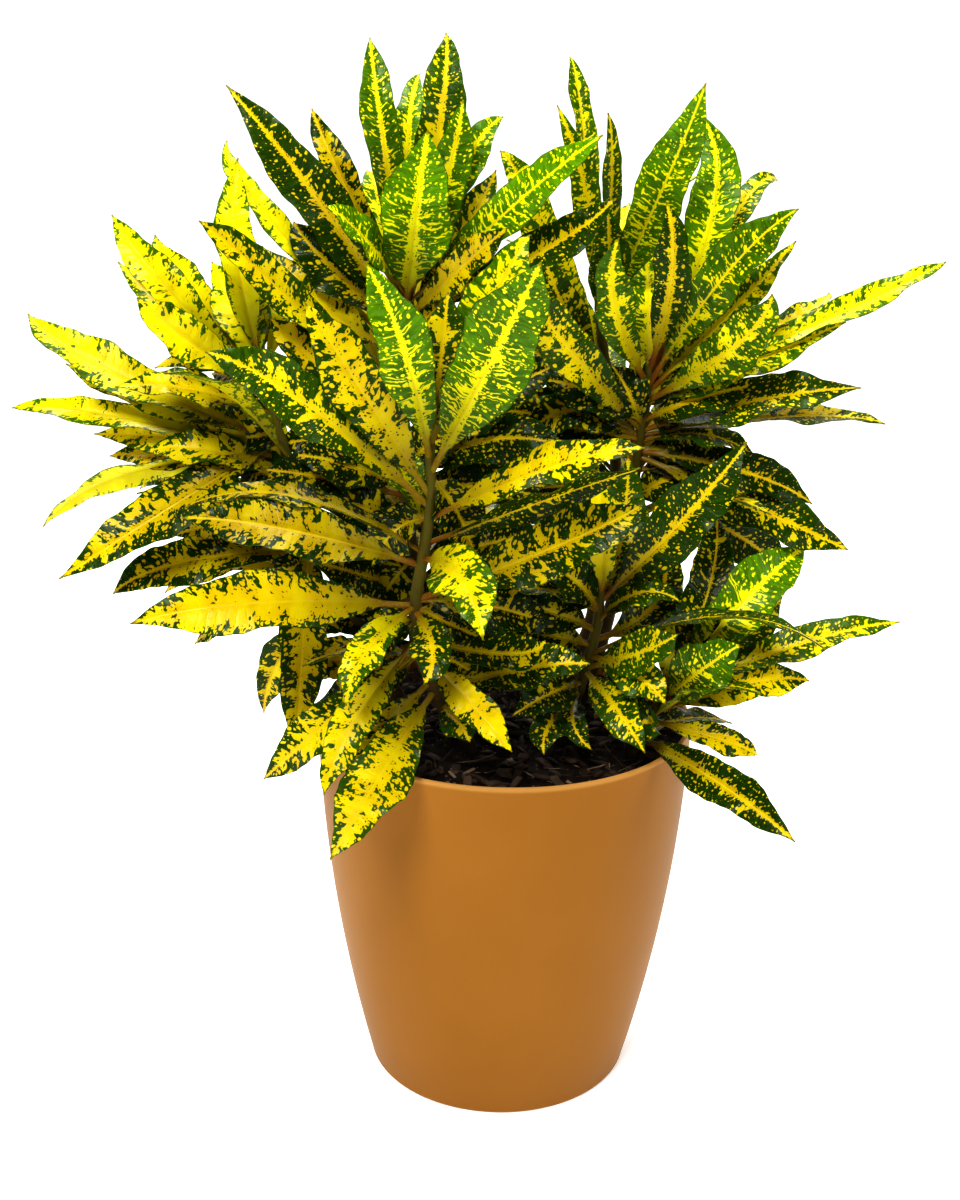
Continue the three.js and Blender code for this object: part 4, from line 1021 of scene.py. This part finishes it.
def pot_finish(mottle):
    """Satin plastic with faint patches, and a painted highlight along the top of the lip."""
    made, s, surface, drift, grain = start_finish("satin_pot_plastic", mottle, 9.0, 1400.0, 0.18)
    colour = s.blend(s.fit(drift, 0.3, 0.7), POT_DARK, POT_LIGHT)
    lip = s.fit(s.split(s.place())[2], *LIP_HIGHLIGHT_SPAN)
    # painted highlight: the top of the lip is paled as if lit from above
    colour = s.blend(s.times(lip, 0.45), colour, PAINTED_LIP_HIGHLIGHT)
    rough = s.plus(0.40, s.times(drift, 0.14))
    dress(s, surface, colour, rough, 0.12, grain, strength=0.25, distance=0.0002)
    return made


def compost_finish(mottle):
    """Dark peat and loam in fine grains, with a few straw-coloured flecks."""
    made, s, surface, drift, _ = start_finish("damp_compost", mottle, 160.0, 1500.0, 0.5)
    colour = s.blend(s.fit(drift, 0.35, 0.7), PEAT, LOAM)
    near, shade = s.cells(s.place(), 420.0)
    fleck = s.times(s.fit(s.split(shade)[0], 0.93, 0.95), s.fit(near, 0.25, 0.35, 1.0, 0.0))
    colour = s.blend(s.times(fleck, 0.6), colour, STRAW)
    rough = s.plus(0.6, s.times(drift, 0.35))
    dress(s, surface, colour, rough, 0.1, drift, strength=0.9, distance=0.001)
    return made


def bark_finish(mottle):
    """Dark bark, each chip with its own tone and a few pale, darker where the mottle is damp."""
    made, s, surface, drift, _ = start_finish("bark_chips", mottle, 240.0, 1800.0, 0.5)
    pale, luck, _ = s.split(s.attribute("chip"))
    colour = s.blend(pale, s.blend(luck, BLACK_BARK, BROWN_BARK), PALE_BARK)
    colour = s.blend(s.fit(drift, 0.35, 0.7, 0.0, 0.6), colour, WET_BARK)
    rough = s.plus(0.5, s.times(drift, 0.4))
    dress(s, surface, colour, rough, 0.15, drift, strength=0.8, distance=0.0008)
    return made


# ---- studio ----
def stand(made, right, up, back, place):
    """Puts a light or camera in the scene at a place in metres, on its own three axes."""
    turned = np.eye(4)
    turned[:3] = np.stack([right, up, back, place], axis=-1)
    made.matrix_world = Matrix(turned.tolist())
    bpy.context.scene.collection.objects.link(made)


def studio():
    """A white floor that curves up into a backdrop, five soft lights, a dim white surround and the
    camera at the station point."""
    made, s, surface = new_material("white_floor")
    faint = s.fit(s.noise(s.place(), 3.0, 2.0), 0.3, 0.7)
    s.join(surface, {"Base Color": s.blend(faint, FLOOR_DIM, FLOOR_PLAIN), "Roughness": 0.9,
                     "Specular IOR Level": 0.1, "Emission Color": WHITE,
                     "Emission Strength": FLOOR_GLOW})
    turn = np.radians(np.linspace(0, 90, FLOOR_STEPS))
    run = np.concatenate([[FLOOR_FRONT], FLOOR_BACK + FLOOR_BEND * np.sin(turn),
                          [FLOOR_BACK + FLOOR_BEND]])
    climb = np.concatenate([[0.0], FLOOR_BEND * (1 - np.cos(turn)), [FLOOR_TOP]])
    across = np.array([-FLOOR_SIDE, FLOOR_SIDE])
    points = np.stack(np.broadcast_arrays(across[None, :], run[:, None], climb[:, None]), axis=-1)
    i = np.arange(len(run) - 1) * 2
    quads = np.stack([i, i + 1, i + 3, i + 2], axis=-1)
    mesh = bpy.data.meshes.new("floor")
    mesh.from_pydata(points.reshape(-1, 3).tolist(), [], quads.tolist())
    mesh.polygons.foreach_set("use_smooth", np.ones(len(quads), bool))
    mesh.materials.append(made)
    floor = bpy.data.objects.new("floor", mesh)
    bpy.context.scene.collection.objects.link(floor)

    world = bpy.data.worlds.new("surround")
    world.use_nodes = True
    background = world.node_tree.nodes["Background"]
    background.inputs[0].default_value, background.inputs[1].default_value = WHITE, SURROUND
    bpy.context.scene.world = world

    for name, (place, aim, size, power) in LIGHTS.items():
        light = bpy.data.lights.new(name, "AREA")
        light.shape = "RECTANGLE"
        light.size, light.size_y = size
        light.energy = power
        back = unit(np.array(place, float) - np.array(aim, float))
        right = unit(np.cross([0.0, 0, 1], back))
        stand(bpy.data.objects.new(name, light), right, np.cross(back, right), back, place)

    lens = bpy.data.cameras.new("camera")
    lens.sensor_fit = "VERTICAL"
    lens.sensor_height = SENSOR
    lens.lens = SENSOR * FOCAL / PLATE[1]
    camera = bpy.data.objects.new("camera", lens)
    stand(camera, PLATE_RIGHT, PLATE_UP, -LOOK, EYE * MM)
    bpy.context.scene.camera = camera
    view = bpy.context.scene.view_settings
    view.view_transform, view.look = "Standard", "High Contrast"


# ---- the part ----
def build():
    """The studio, the pot and its compost, and each stem with its leaves; the plotted leaves are
    counted through from stem to stem."""
    studio()
    mottle, variegation = mottle_group(), variegation_group()
    leaf, wood = leaf_finish(mottle, variegation), stem_finish(mottle)
    pot_shell(pot_finish(mottle))
    compost(compost_finish(mottle))
    bark_chips(bark_finish(mottle))
    first = 0
    for name in LEAVES:
        leaf_blades(name, first, leaf)
        stem_tube(name, wood)
        first += len(LEAVES[name])


build()
